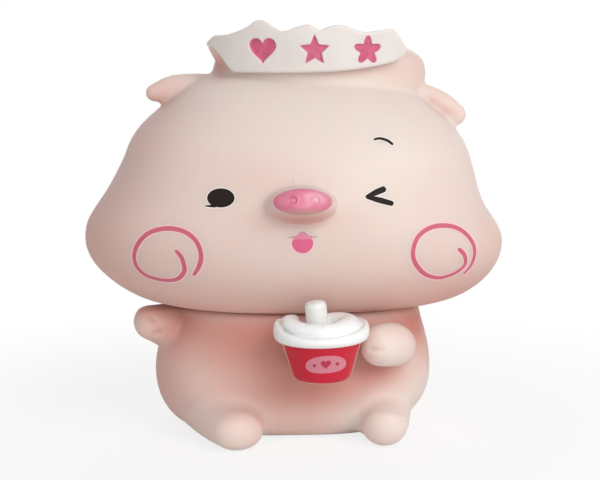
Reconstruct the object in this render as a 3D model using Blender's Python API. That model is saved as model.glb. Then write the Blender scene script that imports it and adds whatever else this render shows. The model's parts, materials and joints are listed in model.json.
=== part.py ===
# Toy farm animal figure: a small sitting piglet of hollow soft vinyl that holds a lidded cup.
# The figure faces -Y, stands on z = 0 and its own left side is +X. All sizes are in metres.
import math

import bmesh
import bpy
from mathutils import Matrix, Vector

# Head shell
HEAD_WIDTH = 0.0874
HEAD_HEIGHT = 0.0498
HEAD_FRONT = 0.0285
HEAD_BACK = 0.0255
# Body shell
BODY_WIDTH = 0.0588
BODY_HEIGHT = 0.0259
BODY_FRONT = 0.0205
BODY_BACK = 0.0232
# Walls, fits and pegs
WALL = 0.002
FIT_GAP = 0.0003
PEG_RADIUS = 0.0017
CUP_PEG_RADIUS = 0.0027
PEG_REACH = 0.0012
CUT_OVERRUN = 0.004
# Neck plug, on which the head turns
NECK_RADIUS = 0.0082
NECK_FLANGE = 0.002
NECK_FLANGE_HEIGHT = 0.0016
NECK_BORE = 0.0058
NECK_DISH = 0.0021
# Ears and snout
EAR_RADIUS = 0.0037
EAR_THICKNESS_SHARE = 0.62
SNOUT_WIDTH = 0.0138
SNOUT_HEIGHT = 0.0072
SNOUT_LENGTH = 0.0062
SNOUT_TILT = math.radians(18)
NOSTRIL_RADIUS = 0.0009
NOSTRIL_DEPTH = 0.0006
# Hat
CROWN_WIDTH = 0.044
CROWN_DEPTH = 0.0285
CROWN_RISE = 0.0036
SIGN_THICKNESS = 0.0022
SIGN_HEIGHT = 0.0104
SIGN_LEAN = 0.0008
SIGN_START = 0.022
MARK_SIZE = 0.0056
MARK_DEPTH = 0.0005
# Arms and feet
ARM_RADIUS = 0.0045
HOLD_ARM_RADIUS = 0.0042
CREASE_WIDTH = 0.0004
FOOT_RADIUS = 0.0051
FOOT_LENGTH = 0.0165
# Cup, lid and straw
CUP_RADIUS = 0.0076
CUP_HEIGHT = 0.0077
LID_RADIUS = 0.0093
LID_RIM = 0.0017
LID_DOME = 0.0026
LID_PLUG = 0.0016
STRAW_RADIUS = 0.0021
STRAW_HEIGHT = 0.0036
STRAW_SOCKET = 0.0014
# Tail
TAIL_RADIUS = 0.0012
TAIL_CURL = 0.0019
# Squeaker
SQUEAKER_RADIUS = 0.0056
SQUEAKER_WALL = 0.0012
SQUEAKER_HEIGHT = 0.0075
SQUEAKER_FLANGE = 0.0013
BLOW_HOLE = 0.0009

# Facets round each form
HEAD_SEGMENTS = 48
BODY_SEGMENTS = 40
ROUND_SEGMENTS = 28
LIMB_SEGMENTS = 18
SMALL_SEGMENTS = 14
FRONT_POWER = 2.35
BACK_POWER = 2.1

# Rows of the head: height share, half width share at -X and at +X, front share, back share
HEAD_SHARES = (
    (0.030, 0.373, 0.384, 0.533, 0.588), (0.008, 0.476, 0.501, 0.600, 0.678),
    (0.000, 0.554, 0.595, 0.635, 0.733), (0.006, 0.643, 0.698, 0.674, 0.784),
    (0.028, 0.744, 0.794, 0.716, 0.831), (0.066, 0.828, 0.870, 0.768, 0.878),
    (0.110, 0.895, 0.924, 0.825, 0.914), (0.167, 0.957, 0.971, 0.888, 0.949),
    (0.227, 0.991, 0.998, 0.937, 0.976), (0.283, 0.998, 0.984, 0.972, 0.992),
    (0.341, 0.984, 0.946, 0.993, 1.000), (0.402, 0.943, 0.899, 1.000, 1.000),
    (0.466, 0.892, 0.870, 0.993, 0.996), (0.534, 0.849, 0.849, 0.972, 0.984),
    (0.602, 0.810, 0.826, 0.940, 0.961), (0.667, 0.780, 0.796, 0.895, 0.925),
    (0.725, 0.737, 0.751, 0.835, 0.875), (0.779, 0.675, 0.693, 0.765, 0.808),
    (0.829, 0.604, 0.622, 0.681, 0.725), (0.876, 0.531, 0.542, 0.586, 0.627),
    (0.916, 0.455, 0.458, 0.481, 0.518), (0.952, 0.362, 0.362, 0.372, 0.400),
    (0.980, 0.247, 0.247, 0.249, 0.271), (0.996, 0.124, 0.124, 0.123, 0.133),
)
# Rows of the body, from the flat base up to the shoulder, with the same five shares
BODY_SHARES = (
    (0.000, 0.663, 0.619, 0.634, 0.668), (0.019, 0.759, 0.701, 0.741, 0.767),
    (0.062, 0.844, 0.779, 0.834, 0.853), (0.139, 0.912, 0.847, 0.912, 0.922),
    (0.247, 0.963, 0.908, 0.966, 0.974), (0.371, 0.990, 0.946, 0.995, 1.000),
    (0.502, 0.997, 0.956, 1.000, 1.000), (0.633, 0.980, 0.949, 0.971, 0.974),
    (0.749, 0.939, 0.925, 0.917, 0.922), (0.842, 0.884, 0.878, 0.844, 0.853),
    (0.919, 0.803, 0.799, 0.751, 0.759), (0.973, 0.680, 0.680, 0.659, 0.655),
)
# Soft swells of the body's skin, two haunches and the hollow between them: degrees from the front,
# half angle, height share, half height share, distance out as a share of the body's front
BODY_SWELLS = (
    (-47, 25, 0.371, 0.293, 0.112), (48, 24, 0.363, 0.286, 0.102), (0, 19, 0.347, 0.270, -0.044),
)
# Top edge of the hat sign: share along its arc, share of its height
SIGN_TOP_SHARES = (
    (0.00, 0.53), (0.05, 0.62), (0.10, 0.71), (0.19, 0.72), (0.25, 0.78), (0.31, 0.88),
    (0.34, 0.98), (0.37, 1.00), (0.39, 0.97), (0.42, 0.86), (0.45, 0.78), (0.48, 0.80),
    (0.52, 0.87), (0.56, 0.92), (0.58, 0.87), (0.61, 0.79), (0.64, 0.87), (0.67, 0.90),
    (0.72, 0.87), (0.76, 0.78), (0.80, 0.77), (0.85, 0.80), (0.91, 0.84), (0.94, 0.73),
    (0.97, 0.57), (1.00, 0.45),
)
# Bottom edge of the hat sign, with the same two shares
SIGN_BOTTOM_SHARES = (
    (0.00, 0.51), (0.05, 0.48), (0.10, 0.43), (0.14, 0.31), (0.17, 0.17), (0.20, 0.04),
    (0.22, 0.00), (0.50, 0.00), (0.66, 0.02), (0.75, 0.06), (0.84, 0.12), (0.91, 0.18),
    (0.96, 0.25), (1.00, 0.40),
)


def clear_scene():
    for thing in list(bpy.data.objects):
        bpy.data.objects.remove(thing, do_unlink=True)
    for mesh in list(bpy.data.meshes):
        bpy.data.meshes.remove(mesh)


def make_material(name, colour, roughness):
    material = bpy.data.materials.new(name)
    material.use_nodes = True
    shader = material.node_tree.nodes["Principled BSDF"]
    shader.inputs["Base Color"].default_value = (*colour, 1.0)
    shader.inputs["Roughness"].default_value = roughness
    shader.inputs["Metallic"].default_value = 0.0
    material.diffuse_color = (*colour, 1.0)
    return material


def add_object(name, mesh, material=None, place=None):
    thing = bpy.data.objects.new(name, mesh)
    bpy.context.scene.collection.objects.link(thing)
    if place is not None:
        thing.location = place.to_translation()
        thing.rotation_euler = place.to_euler()
    if material is None:
        thing.hide_render = True
        thing.display_type = "WIRE"
    else:
        mesh.materials.append(material)
    return thing


def cut(thing, cutter, operation="DIFFERENCE"):
    modifier = thing.modifiers.new(operation.title() + " " + cutter.name, "BOOLEAN")
    modifier.operation = operation
    modifier.solver = "EXACT"
    modifier.object = cutter


def lerp(low, high, share):
    return low + (high - low) * share


def read_table(table, share):
    # Value of a two-column table at a share, on straight lines between its rows
    for (left, low), (right, high) in zip(table, table[1:]):
        if share <= right:
            return lerp(low, high, (share - left) / (right - left))
    return table[-1][1]


def loft_mesh(name, rings, first_pole=None, last_pole=None):
    # Closed skin over rings with the same number of points, ended by poles or flat caps
    points = [point for ring in rings for point in ring]
    count = len(rings[0])
    faces = []
    for row in range(len(rings) - 1):
        base = row * count
        for step in range(count):
            after = (step + 1) % count
            faces.append((base + step, base + after, base + count + after, base + count + step))
    last = (len(rings) - 1) * count
    if first_pole is None:
        faces.append(tuple(range(count)))
    else:
        points.append(first_pole)
        faces.extend((step, len(points) - 1, (step + 1) % count) for step in range(count))
    if last_pole is None:
        faces.append(tuple(range(last, last + count)))
    else:
        points.append(last_pole)
        faces.extend((last + step, last + (step + 1) % count, len(points) - 1) for step in range(count))
    mesh = bpy.data.meshes.new(name)
    mesh.from_pydata([tuple(point) for point in points], [], faces)
    shape = bmesh.new()
    shape.from_mesh(mesh)
    bmesh.ops.recalc_face_normals(shape, faces=shape.faces)
    shape.to_mesh(mesh)
    shape.free()
    return mesh


def move_skin(mesh, distance):
    # Skin moved outward (or inward, below zero) by one even distance
    shape = bmesh.new()
    shape.from_mesh(mesh)
    shape.normal_update()
    shifts = [(vertex, vertex.normal * distance * vertex.calc_shell_factor()) for vertex in shape.verts]
    for vertex, shift in shifts:
        vertex.co += shift
    shape.to_mesh(mesh)
    shape.free()
    return mesh


def oval_ring(height, left, right, front, back, segments):
    ring = []
    for step in range(segments):
        angle = math.tau * (step + 0.5) / segments
        across = math.cos(angle)
        along = math.sin(angle)
        power = FRONT_POWER if along > 0 else BACK_POWER
        depth = front if along > 0 else back
        half_width = right if across > 0 else left
        x = math.copysign(abs(across) ** (2 / power), across) * half_width
        y = -math.copysign(abs(along) ** (2 / power), along) * depth
        ring.append(Vector((x, y, height)))
    return ring


def round_ring(height, radius, segments):
    turns = [math.tau * (step + 0.5) / segments for step in range(segments)]
    return [Vector((math.cos(turn) * radius, -math.sin(turn) * radius, height)) for turn in turns]


def turned_mesh(name, profile, segments, oval=1.0):
    # Form turned round its own Z from (radius, height) rows
    rings = []
    for radius, height in profile:
        ring = round_ring(height, radius, segments)
        rings.append([Vector((point.x, point.y * oval, point.z)) for point in ring])
    return loft_mesh(name, rings)


def rod(name, start, end, radius, segments=SMALL_SEGMENTS):
    way = end - start
    mesh = turned_mesh(name, [(radius, 0), (radius, way.length)], segments)
    mesh.transform(Matrix.Translation(start) @ way.to_track_quat("Z", "Y").to_matrix().to_4x4())
    return mesh


def limb_mesh(name, path, radii, segments, flatness=1.0, up=Vector((0, 0, 1))):
    # Round-ended form along a path; flatness thins it across the up direction
    rings = []
    for index, point in enumerate(path):
        before = path[max(index - 1, 0)]
        after = path[min(index + 1, len(path) - 1)]
        rings.append(limb_ring(point, after - before, radii[index], segments, flatness, up))
    way = (path[-1] - path[-2]).normalized()
    for turn in (0.35, 0.65, 0.88):
        angle = math.pi / 2 * turn
        spot = path[-1] + way * math.sin(angle) * radii[-1]
        rings.append(limb_ring(spot, way, radii[-1] * math.cos(angle), segments, flatness, up))
    return loft_mesh(name, rings, last_pole=path[-1] + way * radii[-1])


def limb_ring(centre, way, radius, segments, flatness, up):
    forward = way.normalized()
    side = up.cross(forward).normalized()
    upward = forward.cross(side)
    turns = [math.tau * step / segments for step in range(segments)]
    return [centre + upward * radius * math.cos(turn) + side * radius * flatness * math.sin(turn)
            for turn in turns]


# Heights shared by the two shells
HEAD_BASE = BODY_HEIGHT + FIT_GAP
NECK_PLATE = HEAD_BASE + NECK_DISH
PLATE_INSIDE = NECK_PLATE + WALL
COLLAR_RADIUS = NECK_RADIUS + NECK_FLANGE + WALL / 2


def head_rows():
    rows = []
    half = HEAD_WIDTH / 2
    for height, left, right, front, back in HEAD_SHARES:
        level = HEAD_BASE + HEAD_HEIGHT * height
        rows.append((level, half * left, half * right, HEAD_FRONT * front, HEAD_BACK * back))
    return rows


def body_rows():
    rows = []
    half = BODY_WIDTH / 2
    for height, left, right, front, back in BODY_SHARES:
        rows.append((BODY_HEIGHT * height, half * left, half * right, BODY_FRONT * front, BODY_BACK * back))
    return rows


def row_at(rows, height):
    # Both half widths, front and back of a shell at one height
    lowest = min(range(len(rows)), key=lambda index: rows[index][0])
    rising = rows[lowest:]
    for low, high in zip(rising, rising[1:]):
        if low[0] <= height <= high[0]:
            share = (height - low[0]) / (high[0] - low[0])
            return [lerp(a, b, share) for a, b in zip(low[1:], high[1:])]
    return None


def is_inside(rows, point):
    row = row_at(rows, point.z)
    if row is None:
        return False
    left, right, front, back = row
    half_width = left if point.x < 0 else right
    power = FRONT_POWER if point.y < 0 else BACK_POWER
    depth = front if point.y < 0 else back
    return abs(point.x / half_width) ** power + abs(point.y / depth) ** power < 1


def body_swell(point):
    # How far the haunches push the body's skin out, away from the middle, at a point
    angle = math.degrees(math.atan2(point.x, -point.y))
    level = point.z / BODY_HEIGHT
    swell = 0
    for middle, wide, height, tall, rise in BODY_SWELLS:
        across = (angle - middle) / wide
        above = (level - height) / tall
        swell += rise * math.exp(-across * across - above * above)
    return Vector((point.x, point.y, 0)).normalized() * BODY_FRONT * swell


def in_head(point):
    return is_inside(head_rows(), point)


def in_body(point):
    return is_inside(body_rows(), point - body_swell(point))


def surface_hit(inside, start, way, reach):
    # Where a line that starts inside a shell leaves it
    low, high = 0, reach
    for _ in range(40):
        middle = (low + high) / 2
        if inside(start + way * middle):
            low = middle
        else:
            high = middle
    return start + way * low


def face_spot(rows, x, height):
    # Point on the front of a shell above a given x and height
    left, right, front, _ = row_at(rows, height)
    share = max(1 - abs(x / (left if x < 0 else right)) ** FRONT_POWER, 0)
    return Vector((x, -front * share ** (1 / FRONT_POWER), height))


def head_skin(name, distance=0):
    plate_edge = COLLAR_RADIUS + WALL / 2
    rings = [round_ring(NECK_PLATE, radius, HEAD_SEGMENTS) for radius in (COLLAR_RADIUS, plate_edge)]
    rings.extend(oval_ring(*row, HEAD_SEGMENTS) for row in head_rows())
    mesh = loft_mesh(name, rings, last_pole=Vector((0, 0, HEAD_BASE + HEAD_HEIGHT)))
    return move_skin(mesh, distance) if distance else mesh


def body_skin(name, distance=0):
    rings = []
    for row in body_rows():
        rings.append([point + body_swell(point) for point in oval_ring(*row, BODY_SEGMENTS)])
    mesh = loft_mesh(name, rings, last_pole=Vector((0, 0, BODY_HEIGHT)))
    return move_skin(mesh, distance) if distance else mesh


def neck_mesh(name):
    flange_base = PLATE_INSIDE + FIT_GAP
    flange_radius = NECK_RADIUS + NECK_FLANGE
    collar_top = NECK_PLATE - FIT_GAP
    profile = [
        (COLLAR_RADIUS, BODY_HEIGHT - WALL), (COLLAR_RADIUS, collar_top - FIT_GAP),
        (COLLAR_RADIUS - FIT_GAP, collar_top), (NECK_RADIUS, collar_top), (NECK_RADIUS, flange_base),
        (flange_radius, flange_base), (flange_radius, flange_base + NECK_FLANGE_HEIGHT / 2),
        (flange_radius - NECK_FLANGE / 2, flange_base + NECK_FLANGE_HEIGHT),
    ]
    return turned_mesh(name, profile, ROUND_SEGMENTS)


def join_rods(name, rods):
    # One cutter made of separate rods: (start, end, radius)
    shape = bmesh.new()
    for start, end, radius in rods:
        piece = rod(name, start, end, radius)
        shape.from_mesh(piece)
        bpy.data.meshes.remove(piece)
    mesh = bpy.data.meshes.new(name)
    shape.to_mesh(mesh)
    shape.free()
    return add_object(name, mesh)


def peg_line(inside, root, way, bite, span):
    # Start and end of a peg that passes the wall of a shell where a form stands on it
    spot = surface_hit(inside, root, way, span)
    return spot - way * (WALL * 1.5 + PEG_REACH), spot + way * bite


def add_peg(thing, line, radius):
    peg = add_object("peg_of_" + thing.name, rod("peg", line[0], line[1], radius))
    cut(thing, peg, "UNION")


# Ears
def ear_path(side):
    # The ear at -X stands out sideways; the one at +X is folded forward and down beside the crown
    if side < 0:
        root_x = HEAD_WIDTH * 0.3
        shares = ((-1.65, 0.30), (-0.82, 0.42), (0.01, 0.46), (0.64, 0.40))
    else:
        root_x = crown_centre().x + CROWN_WIDTH / 2
        shares = ((-0.68, 0.10), (0.03, -0.07), (0.86, -0.42), (1.51, -0.72))
    root_z = side_height(root_x, side)
    forward = HEAD_FRONT * (0.035 if side < 0 else 0.10)
    step = HEAD_FRONT * (0.012 if side < 0 else 0.022)
    path = []
    for index, (out, up) in enumerate(shares):
        x = side * (root_x + EAR_RADIUS * out)
        path.append(Vector((x, -forward - step * index, root_z + EAR_RADIUS * up)))
    return path


def side_height(x, side):
    # Height at which one upper side of the head is a given distance from its middle
    rows = [(row[0], row[1] if side < 0 else row[2]) for row in head_rows()]
    for low, high in zip(rows[::-1], rows[-2::-1]):
        if high[1] >= x:
            return lerp(low[0], high[0], (x - low[1]) / (high[1] - low[1]))
    return rows[-1][0]


def add_ear(name, side, vinyl, head_grown, crown_grown):
    path = ear_path(side)
    radii = [EAR_RADIUS * share for share in (1.0, 0.95, 0.82, 0.56)]
    ear = add_object(name, limb_mesh(name, path, radii, LIMB_SEGMENTS, EAR_THICKNESS_SHARE), vinyl)
    cut(ear, head_grown)
    way = (path[1] - path[0]).normalized()
    line = peg_line(in_head, path[0] - way * WALL, way, EAR_RADIUS / 2, HEAD_WIDTH)
    add_peg(ear, line, PEG_RADIUS)
    cut(ear, crown_grown)
    return line


# Snout
def snout_place():
    height = HEAD_BASE + HEAD_HEIGHT * 0.452
    spot = face_spot(head_rows(), 0, height)
    tilt = Matrix.Rotation(math.radians(90) - SNOUT_TILT, 4, "X")
    return Matrix.Translation(spot) @ tilt


def add_snout(paint, head_grown):
    place = snout_place()
    half = SNOUT_WIDTH / 2
    profile = [
        (half * 1.09, -SNOUT_LENGTH * 0.6), (half * 0.975, 0), (half * 0.905, SNOUT_LENGTH * 0.33),
        (half * 0.855, SNOUT_LENGTH * 0.72), (half * 0.825, SNOUT_LENGTH * 0.90),
        (half * 0.77, SNOUT_LENGTH * 0.98), (half * 0.64, SNOUT_LENGTH * 1.03),
        (half * 0.30, SNOUT_LENGTH * 1.05),
    ]
    mesh = turned_mesh("snout", profile, ROUND_SEGMENTS, SNOUT_HEIGHT / SNOUT_WIDTH)
    snout = add_object("snout", mesh, paint, place)
    cut(snout, head_grown)
    dents = bmesh.new()
    for side in (-1, 1):
        spot = place @ Vector((side * half * 0.32, 0, SNOUT_LENGTH * 1.05 + NOSTRIL_RADIUS - NOSTRIL_DEPTH))
        stretch = place.to_3x3().to_4x4() @ Matrix.Diagonal((1.0, 0.8, 1.0, 1.0))
        bmesh.ops.create_uvsphere(dents, u_segments=12, v_segments=8, radius=NOSTRIL_RADIUS,
                                  matrix=Matrix.Translation(spot) @ stretch)
    mesh = bpy.data.meshes.new("nostril_cutter")
    dents.to_mesh(mesh)
    dents.free()
    cut(snout, add_object("nostril_cutter", mesh))
    way = (place.to_3x3() @ Vector((0, 0, 1))).normalized()
    spot = place.translation
    line = (spot - way * (WALL * 1.5 + PEG_REACH), spot + way * SNOUT_LENGTH / 2)
    add_peg(snout, line, PEG_RADIUS)
    return line


# Hat
def crown_centre():
    return Vector((HEAD_WIDTH * 0.057, 0, HEAD_BASE + HEAD_HEIGHT))


def crown_skin(name, distance=0):
    base = -HEAD_HEIGHT * 0.16
    profile = [
        (0.96, base), (1.0, base / 2), (0.985, 0), (0.94, CROWN_RISE * 0.45), (0.84, CROWN_RISE * 0.80),
        (0.66, CROWN_RISE * 0.96), (0.35, CROWN_RISE),
    ]
    profile = [(CROWN_WIDTH / 2 * share, height) for share, height in profile]
    mesh = turned_mesh(name, profile, BODY_SEGMENTS, CROWN_DEPTH / CROWN_WIDTH)
    return move_skin(mesh, distance) if distance else mesh


def add_crown(vinyl, head_grown):
    centre = crown_centre()
    crown = add_object("hat_crown", crown_skin("hat_crown"), vinyl, Matrix.Translation(centre))
    cut(crown, head_grown)
    top = Vector((0, 0, centre.z))
    line = (top - Vector((0, 0, WALL * 1.5 + PEG_REACH)), top + Vector((0, 0, CROWN_RISE / 2)))
    add_peg(crown, line, PEG_RADIUS * 1.5)
    return crown, line


def sign_point(share, out, height_share):
    # Point of the sign at a share along its arc, a distance out from the crown, a share up its height
    turn = lerp(math.radians(-72), math.radians(43), share)
    half_width = CROWN_WIDTH / 2 + FIT_GAP + out
    half_depth = CROWN_DEPTH / 2 + FIT_GAP + out
    lean = SIGN_LEAN * height_share
    x = math.sin(turn) * (half_width + lean)
    y = -math.cos(turn) * (half_depth + lean)
    height = crown_centre().z - HEAD_HEIGHT * 0.048 + SIGN_HEIGHT * height_share
    return Vector((x + crown_centre().x, y, height))


def add_sign(paint, crown, head_grown):
    rings = []
    columns = 56
    for step in range(columns + 1):
        share = lerp(SIGN_START, 1, step / columns)
        low = read_table(SIGN_BOTTOM_SHARES, share)
        high = read_table(SIGN_TOP_SHARES, share)
        rings.append([
            sign_point(share, 0, low), sign_point(share, SIGN_THICKNESS, low),
            sign_point(share, SIGN_THICKNESS, (low + high) / 2), sign_point(share, SIGN_THICKNESS, high),
            sign_point(share, 0, high), sign_point(share, 0, (low + high) / 2),
        ])
    sign = add_object("hat_sign", loft_mesh("hat_sign", rings), paint)
    cut(sign, head_grown)
    marks = ((0.37, heart_outline()), (0.585, star_outline()), (0.80, flower_outline()))
    for index, (share, outline) in enumerate(marks):
        cut(sign, add_object("mark_cutter_%d" % index, mark_mesh(share, outline)))
    pins = []
    for share in (0.36, 0.68):
        out_spot = sign_point(share, SIGN_THICKNESS / 2, 0.22)
        in_spot = Vector((lerp(crown_centre().x, out_spot.x, 0.82), out_spot.y * 0.76, out_spot.z))
        pins.append((in_spot, out_spot))
    for index, (in_spot, out_spot) in enumerate(pins):
        pin = add_object("sign_pin_%d" % index, rod("sign_pin", in_spot, out_spot, PEG_RADIUS / 2))
        cut(sign, pin, "UNION")
    deeper = [(a - (b - a).normalized() * FIT_GAP, b, PEG_RADIUS / 2 + FIT_GAP) for a, b in pins]
    cut(crown, join_rods("sign_pin_holes", deeper))


def mark_mesh(share, outline):
    spot = sign_point(share, SIGN_THICKNESS - MARK_DEPTH, 0.42)
    beyond = sign_point(share, SIGN_THICKNESS + CUT_OVERRUN, 0.42)
    way = beyond - spot
    side = (sign_point(share + 0.02, 0, 0.42) - sign_point(share - 0.02, 0, 0.42)).normalized()
    up = side.cross(way).normalized() * -1
    if up.z < 0:
        up.negate()
    rings = []
    for shift in (Vector((0, 0, 0)), way):
        rings.append([spot + shift + (side * x + up * y) * MARK_SIZE / 2 for x, y in outline])
    return loft_mesh("mark_cutter", rings)


def heart_outline():
    points = []
    for step in range(20):
        turn = math.tau * (step + 0.5) / 20
        x = math.sin(turn) ** 3
        y = (13 * math.cos(turn) - 5 * math.cos(2 * turn) - 2 * math.cos(3 * turn) - math.cos(4 * turn)) / 16
        points.append((x, y + 0.1))
    return points


def star_outline():
    points = []
    for step in range(10):
        reach = 1.08 if step % 2 == 0 else 0.5
        turn = math.tau * step / 10
        points.append((math.sin(turn) * reach, math.cos(turn) * reach))
    return points


def flower_outline():
    points = []
    for step in range(30):
        turn = math.tau * step / 30
        reach = 0.78 + 0.24 * math.cos(5 * turn)
        points.append((math.sin(turn) * reach, math.cos(turn) * reach))
    return points


# Cup, lid and straw
def cup_place():
    forward = BODY_FRONT + CUP_RADIUS * 0.886
    clear = HEAD_FRONT * 0.86 + STRAW_RADIUS * 1.29
    base = BODY_HEIGHT * 0.577
    return Matrix.Translation((BODY_WIDTH * 0.065, -max(forward, clear), base))


def cup_profile(grow=0):
    return [
        (CUP_RADIUS * 0.55 + grow, -grow), (CUP_RADIUS * 0.69 + grow, CUP_HEIGHT * 0.04),
        (CUP_RADIUS * 0.765 + grow, CUP_HEIGHT * 0.14), (CUP_RADIUS * 0.82 + grow, CUP_HEIGHT * 0.32),
        (CUP_RADIUS + grow, CUP_HEIGHT + grow),
    ]


def lid_profile(grow=0):
    # From the underside, round the thick rim and up the dome
    base = CUP_HEIGHT + FIT_GAP - grow
    rim_base = base - LID_RIM * 0.15
    profile = [(CUP_RADIUS * 0.8 + grow, base), (CUP_RADIUS + grow, base)]
    for step in range(7):
        turn = math.radians(-75 + 27.5 * step)
        radius = LID_RADIUS - LID_RIM * 0.75 + math.cos(turn) * LID_RIM * 0.75
        height = rim_base + LID_RIM * 0.75 * (1 + math.sin(turn)) + FIT_GAP
        profile.append((radius + grow, height))
    top = CUP_HEIGHT + LID_RIM + LID_DOME
    profile.append((LID_RADIUS * 0.76 + grow, lerp(CUP_HEIGHT + LID_RIM, top, 0.40)))
    profile.append((LID_RADIUS * 0.66 + grow, lerp(CUP_HEIGHT + LID_RIM, top, 0.78)))
    profile.append((LID_RADIUS * 0.50 + grow, lerp(CUP_HEIGHT + LID_RIM, top, 0.96)))
    profile.append((LID_RADIUS * 0.35, top + grow))
    return profile


def add_cup(paint_cup, paint_lid, paint_straw, body_grown):
    place = cup_place()
    cup = add_object("cup", turned_mesh("cup", cup_profile(), ROUND_SEGMENTS), paint_cup, place)
    plug_radius = CUP_RADIUS * 0.55
    plug_base = place @ Vector((0, 0, CUP_HEIGHT - LID_PLUG))
    plug_top = place @ Vector((0, 0, CUP_HEIGHT + LID_RIM / 2))
    cut(cup, body_grown)
    sink = Vector((0, 0, FIT_GAP))
    inward = Vector((0, 1, 0))
    behind = place @ Vector((0, CUP_RADIUS * 3, CUP_HEIGHT * 0.45))
    spot = surface_hit(in_body, behind, -inward, BODY_FRONT * 2)
    in_cup = max(CUP_RADIUS * 0.6, spot.y - place.translation.y - CUP_RADIUS * 0.4)
    line = (spot + inward * (WALL * 1.5 + PEG_REACH), spot - inward * in_cup)
    add_peg(cup, line, CUP_PEG_RADIUS)
    socket = rod("lid_socket", plug_base - sink, plug_top, plug_radius + FIT_GAP, ROUND_SEGMENTS)
    cut(cup, add_object("lid_socket", socket))
    lid = add_object("cup_lid", turned_mesh("cup_lid", lid_profile(), ROUND_SEGMENTS), paint_lid, place)
    cut(lid, body_grown)
    plug = rod("lid_plug", plug_base, plug_top, plug_radius, ROUND_SEGMENTS)
    cut(lid, add_object("lid_plug", plug), "UNION")
    top = CUP_HEIGHT + LID_RIM + LID_DOME
    lean = Vector((-0.11, 0, 1)).normalized()
    foot = place @ Vector((-STRAW_RADIUS * 0.1, -STRAW_RADIUS * 0.3, top - STRAW_SOCKET))
    socket_end = foot + lean * (STRAW_SOCKET + CUT_OVERRUN)
    socket = rod("straw_socket", foot - lean * FIT_GAP, socket_end, STRAW_RADIUS + FIT_GAP, LIMB_SEGMENTS)
    cut(lid, add_object("straw_socket", socket))
    straw_top = foot + lean * (STRAW_SOCKET + STRAW_HEIGHT)
    way = lean * STRAW_RADIUS * 0.12
    rings = [limb_ring(foot, lean, STRAW_RADIUS, LIMB_SEGMENTS, 1.0, Vector((0, 1, 0)))]
    rings.append(limb_ring(straw_top - way * 2, lean, STRAW_RADIUS, LIMB_SEGMENTS, 1.0, Vector((0, 1, 0))))
    rings.append(limb_ring(straw_top, lean, STRAW_RADIUS * 0.84, LIMB_SEGMENTS, 1.0, Vector((0, 1, 0))))
    add_object("straw", loft_mesh("straw", rings), paint_straw)
    return line


# Arms and feet
def raised_arm_path():
    height = BODY_HEIGHT - ARM_RADIUS
    half = BODY_WIDTH / 2
    shares = ((-0.58, 0.06, -0.116), (-0.79, 0.18, -0.039), (-0.925, 0.28, 0.0), (-1.01, 0.34, 0.018))
    return [Vector((half * x, -BODY_FRONT * y, height + BODY_HEIGHT * z)) for x, y, z in shares]


def hold_arm_path():
    # From the shoulder at +X, round the belly and up to the side of the cup
    half = BODY_WIDTH / 2
    height = BODY_HEIGHT - HOLD_ARM_RADIUS * 1.1
    cup = cup_place().translation
    paw = Vector((cup.x + CUP_RADIUS + HOLD_ARM_RADIUS * 0.95, cup.y + CUP_RADIUS * 0.35, height))
    elbow = Vector((half * 0.65, lerp(paw.y, -BODY_FRONT * 0.55, 0.5), height - HOLD_ARM_RADIUS * 0.40))
    shoulder = Vector((half * 0.61, -BODY_FRONT * 0.42, height - HOLD_ARM_RADIUS * 0.64))
    root = Vector((half * 0.44, -BODY_FRONT * 0.30, height - HOLD_ARM_RADIUS * 0.64))
    wrist = paw.lerp(elbow, 0.45) + Vector((HOLD_ARM_RADIUS * 0.10, 0, 0))
    return [root, shoulder, elbow, wrist, paw]


def add_crease(arm, centre, radius):
    # Short split across a trotter: a thin lens that bites into the skin
    profile = [(radius * 0.55, -CREASE_WIDTH), (radius, 0), (radius * 0.55, CREASE_WIDTH)]
    mesh = turned_mesh("crease", profile, SMALL_SEGMENTS)
    cut(arm, add_object("crease_of_" + arm.name, mesh, place=Matrix.Translation(centre)))


def add_raised_arm(vinyl, body_grown):
    path = raised_arm_path()
    radii = [ARM_RADIUS * share for share in (0.98, 1.0, 1.0, 0.87)]
    arm = add_object("arm_raised", limb_mesh("arm_raised", path, radii, LIMB_SEGMENTS), vinyl)
    cut(arm, body_grown)
    tip = path[-1] + Vector((-ARM_RADIUS * 0.55, -ARM_RADIUS * 0.78, ARM_RADIUS * 0.12))
    add_crease(arm, tip, ARM_RADIUS * 0.48)
    way = (path[1] - path[0]).normalized()
    line = peg_line(in_body, path[0], way, ARM_RADIUS * 0.6, BODY_WIDTH)
    add_peg(arm, line, PEG_RADIUS)
    return line


def add_hold_arm(vinyl, body_grown):
    path = hold_arm_path()
    radii = [HOLD_ARM_RADIUS * share for share in (0.95, 1.02, 1.05, 1.0, 0.94)]
    arm = add_object("arm_cup", limb_mesh("arm_cup", path, radii, LIMB_SEGMENTS), vinyl)
    cut(arm, body_grown)
    place = cup_place()
    grown = turned_mesh("cup_grown", cup_profile(FIT_GAP), ROUND_SEGMENTS)
    cut(arm, add_object("cup_grown", grown, place=place))
    grown = turned_mesh("lid_grown", lid_profile(FIT_GAP), ROUND_SEGMENTS)
    cut(arm, add_object("lid_grown", grown, place=place))
    paw = path[-1]
    front = paw + Vector((HOLD_ARM_RADIUS * 0.45, -HOLD_ARM_RADIUS * 0.88, 0))
    add_crease(arm, front, HOLD_ARM_RADIUS * 0.52)
    way = Vector((0.74, -0.67, 0)).normalized()
    line = peg_line(in_body, path[0], way, HOLD_ARM_RADIUS * 0.4, BODY_WIDTH)
    add_peg(arm, line, PEG_RADIUS)
    return line


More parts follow.
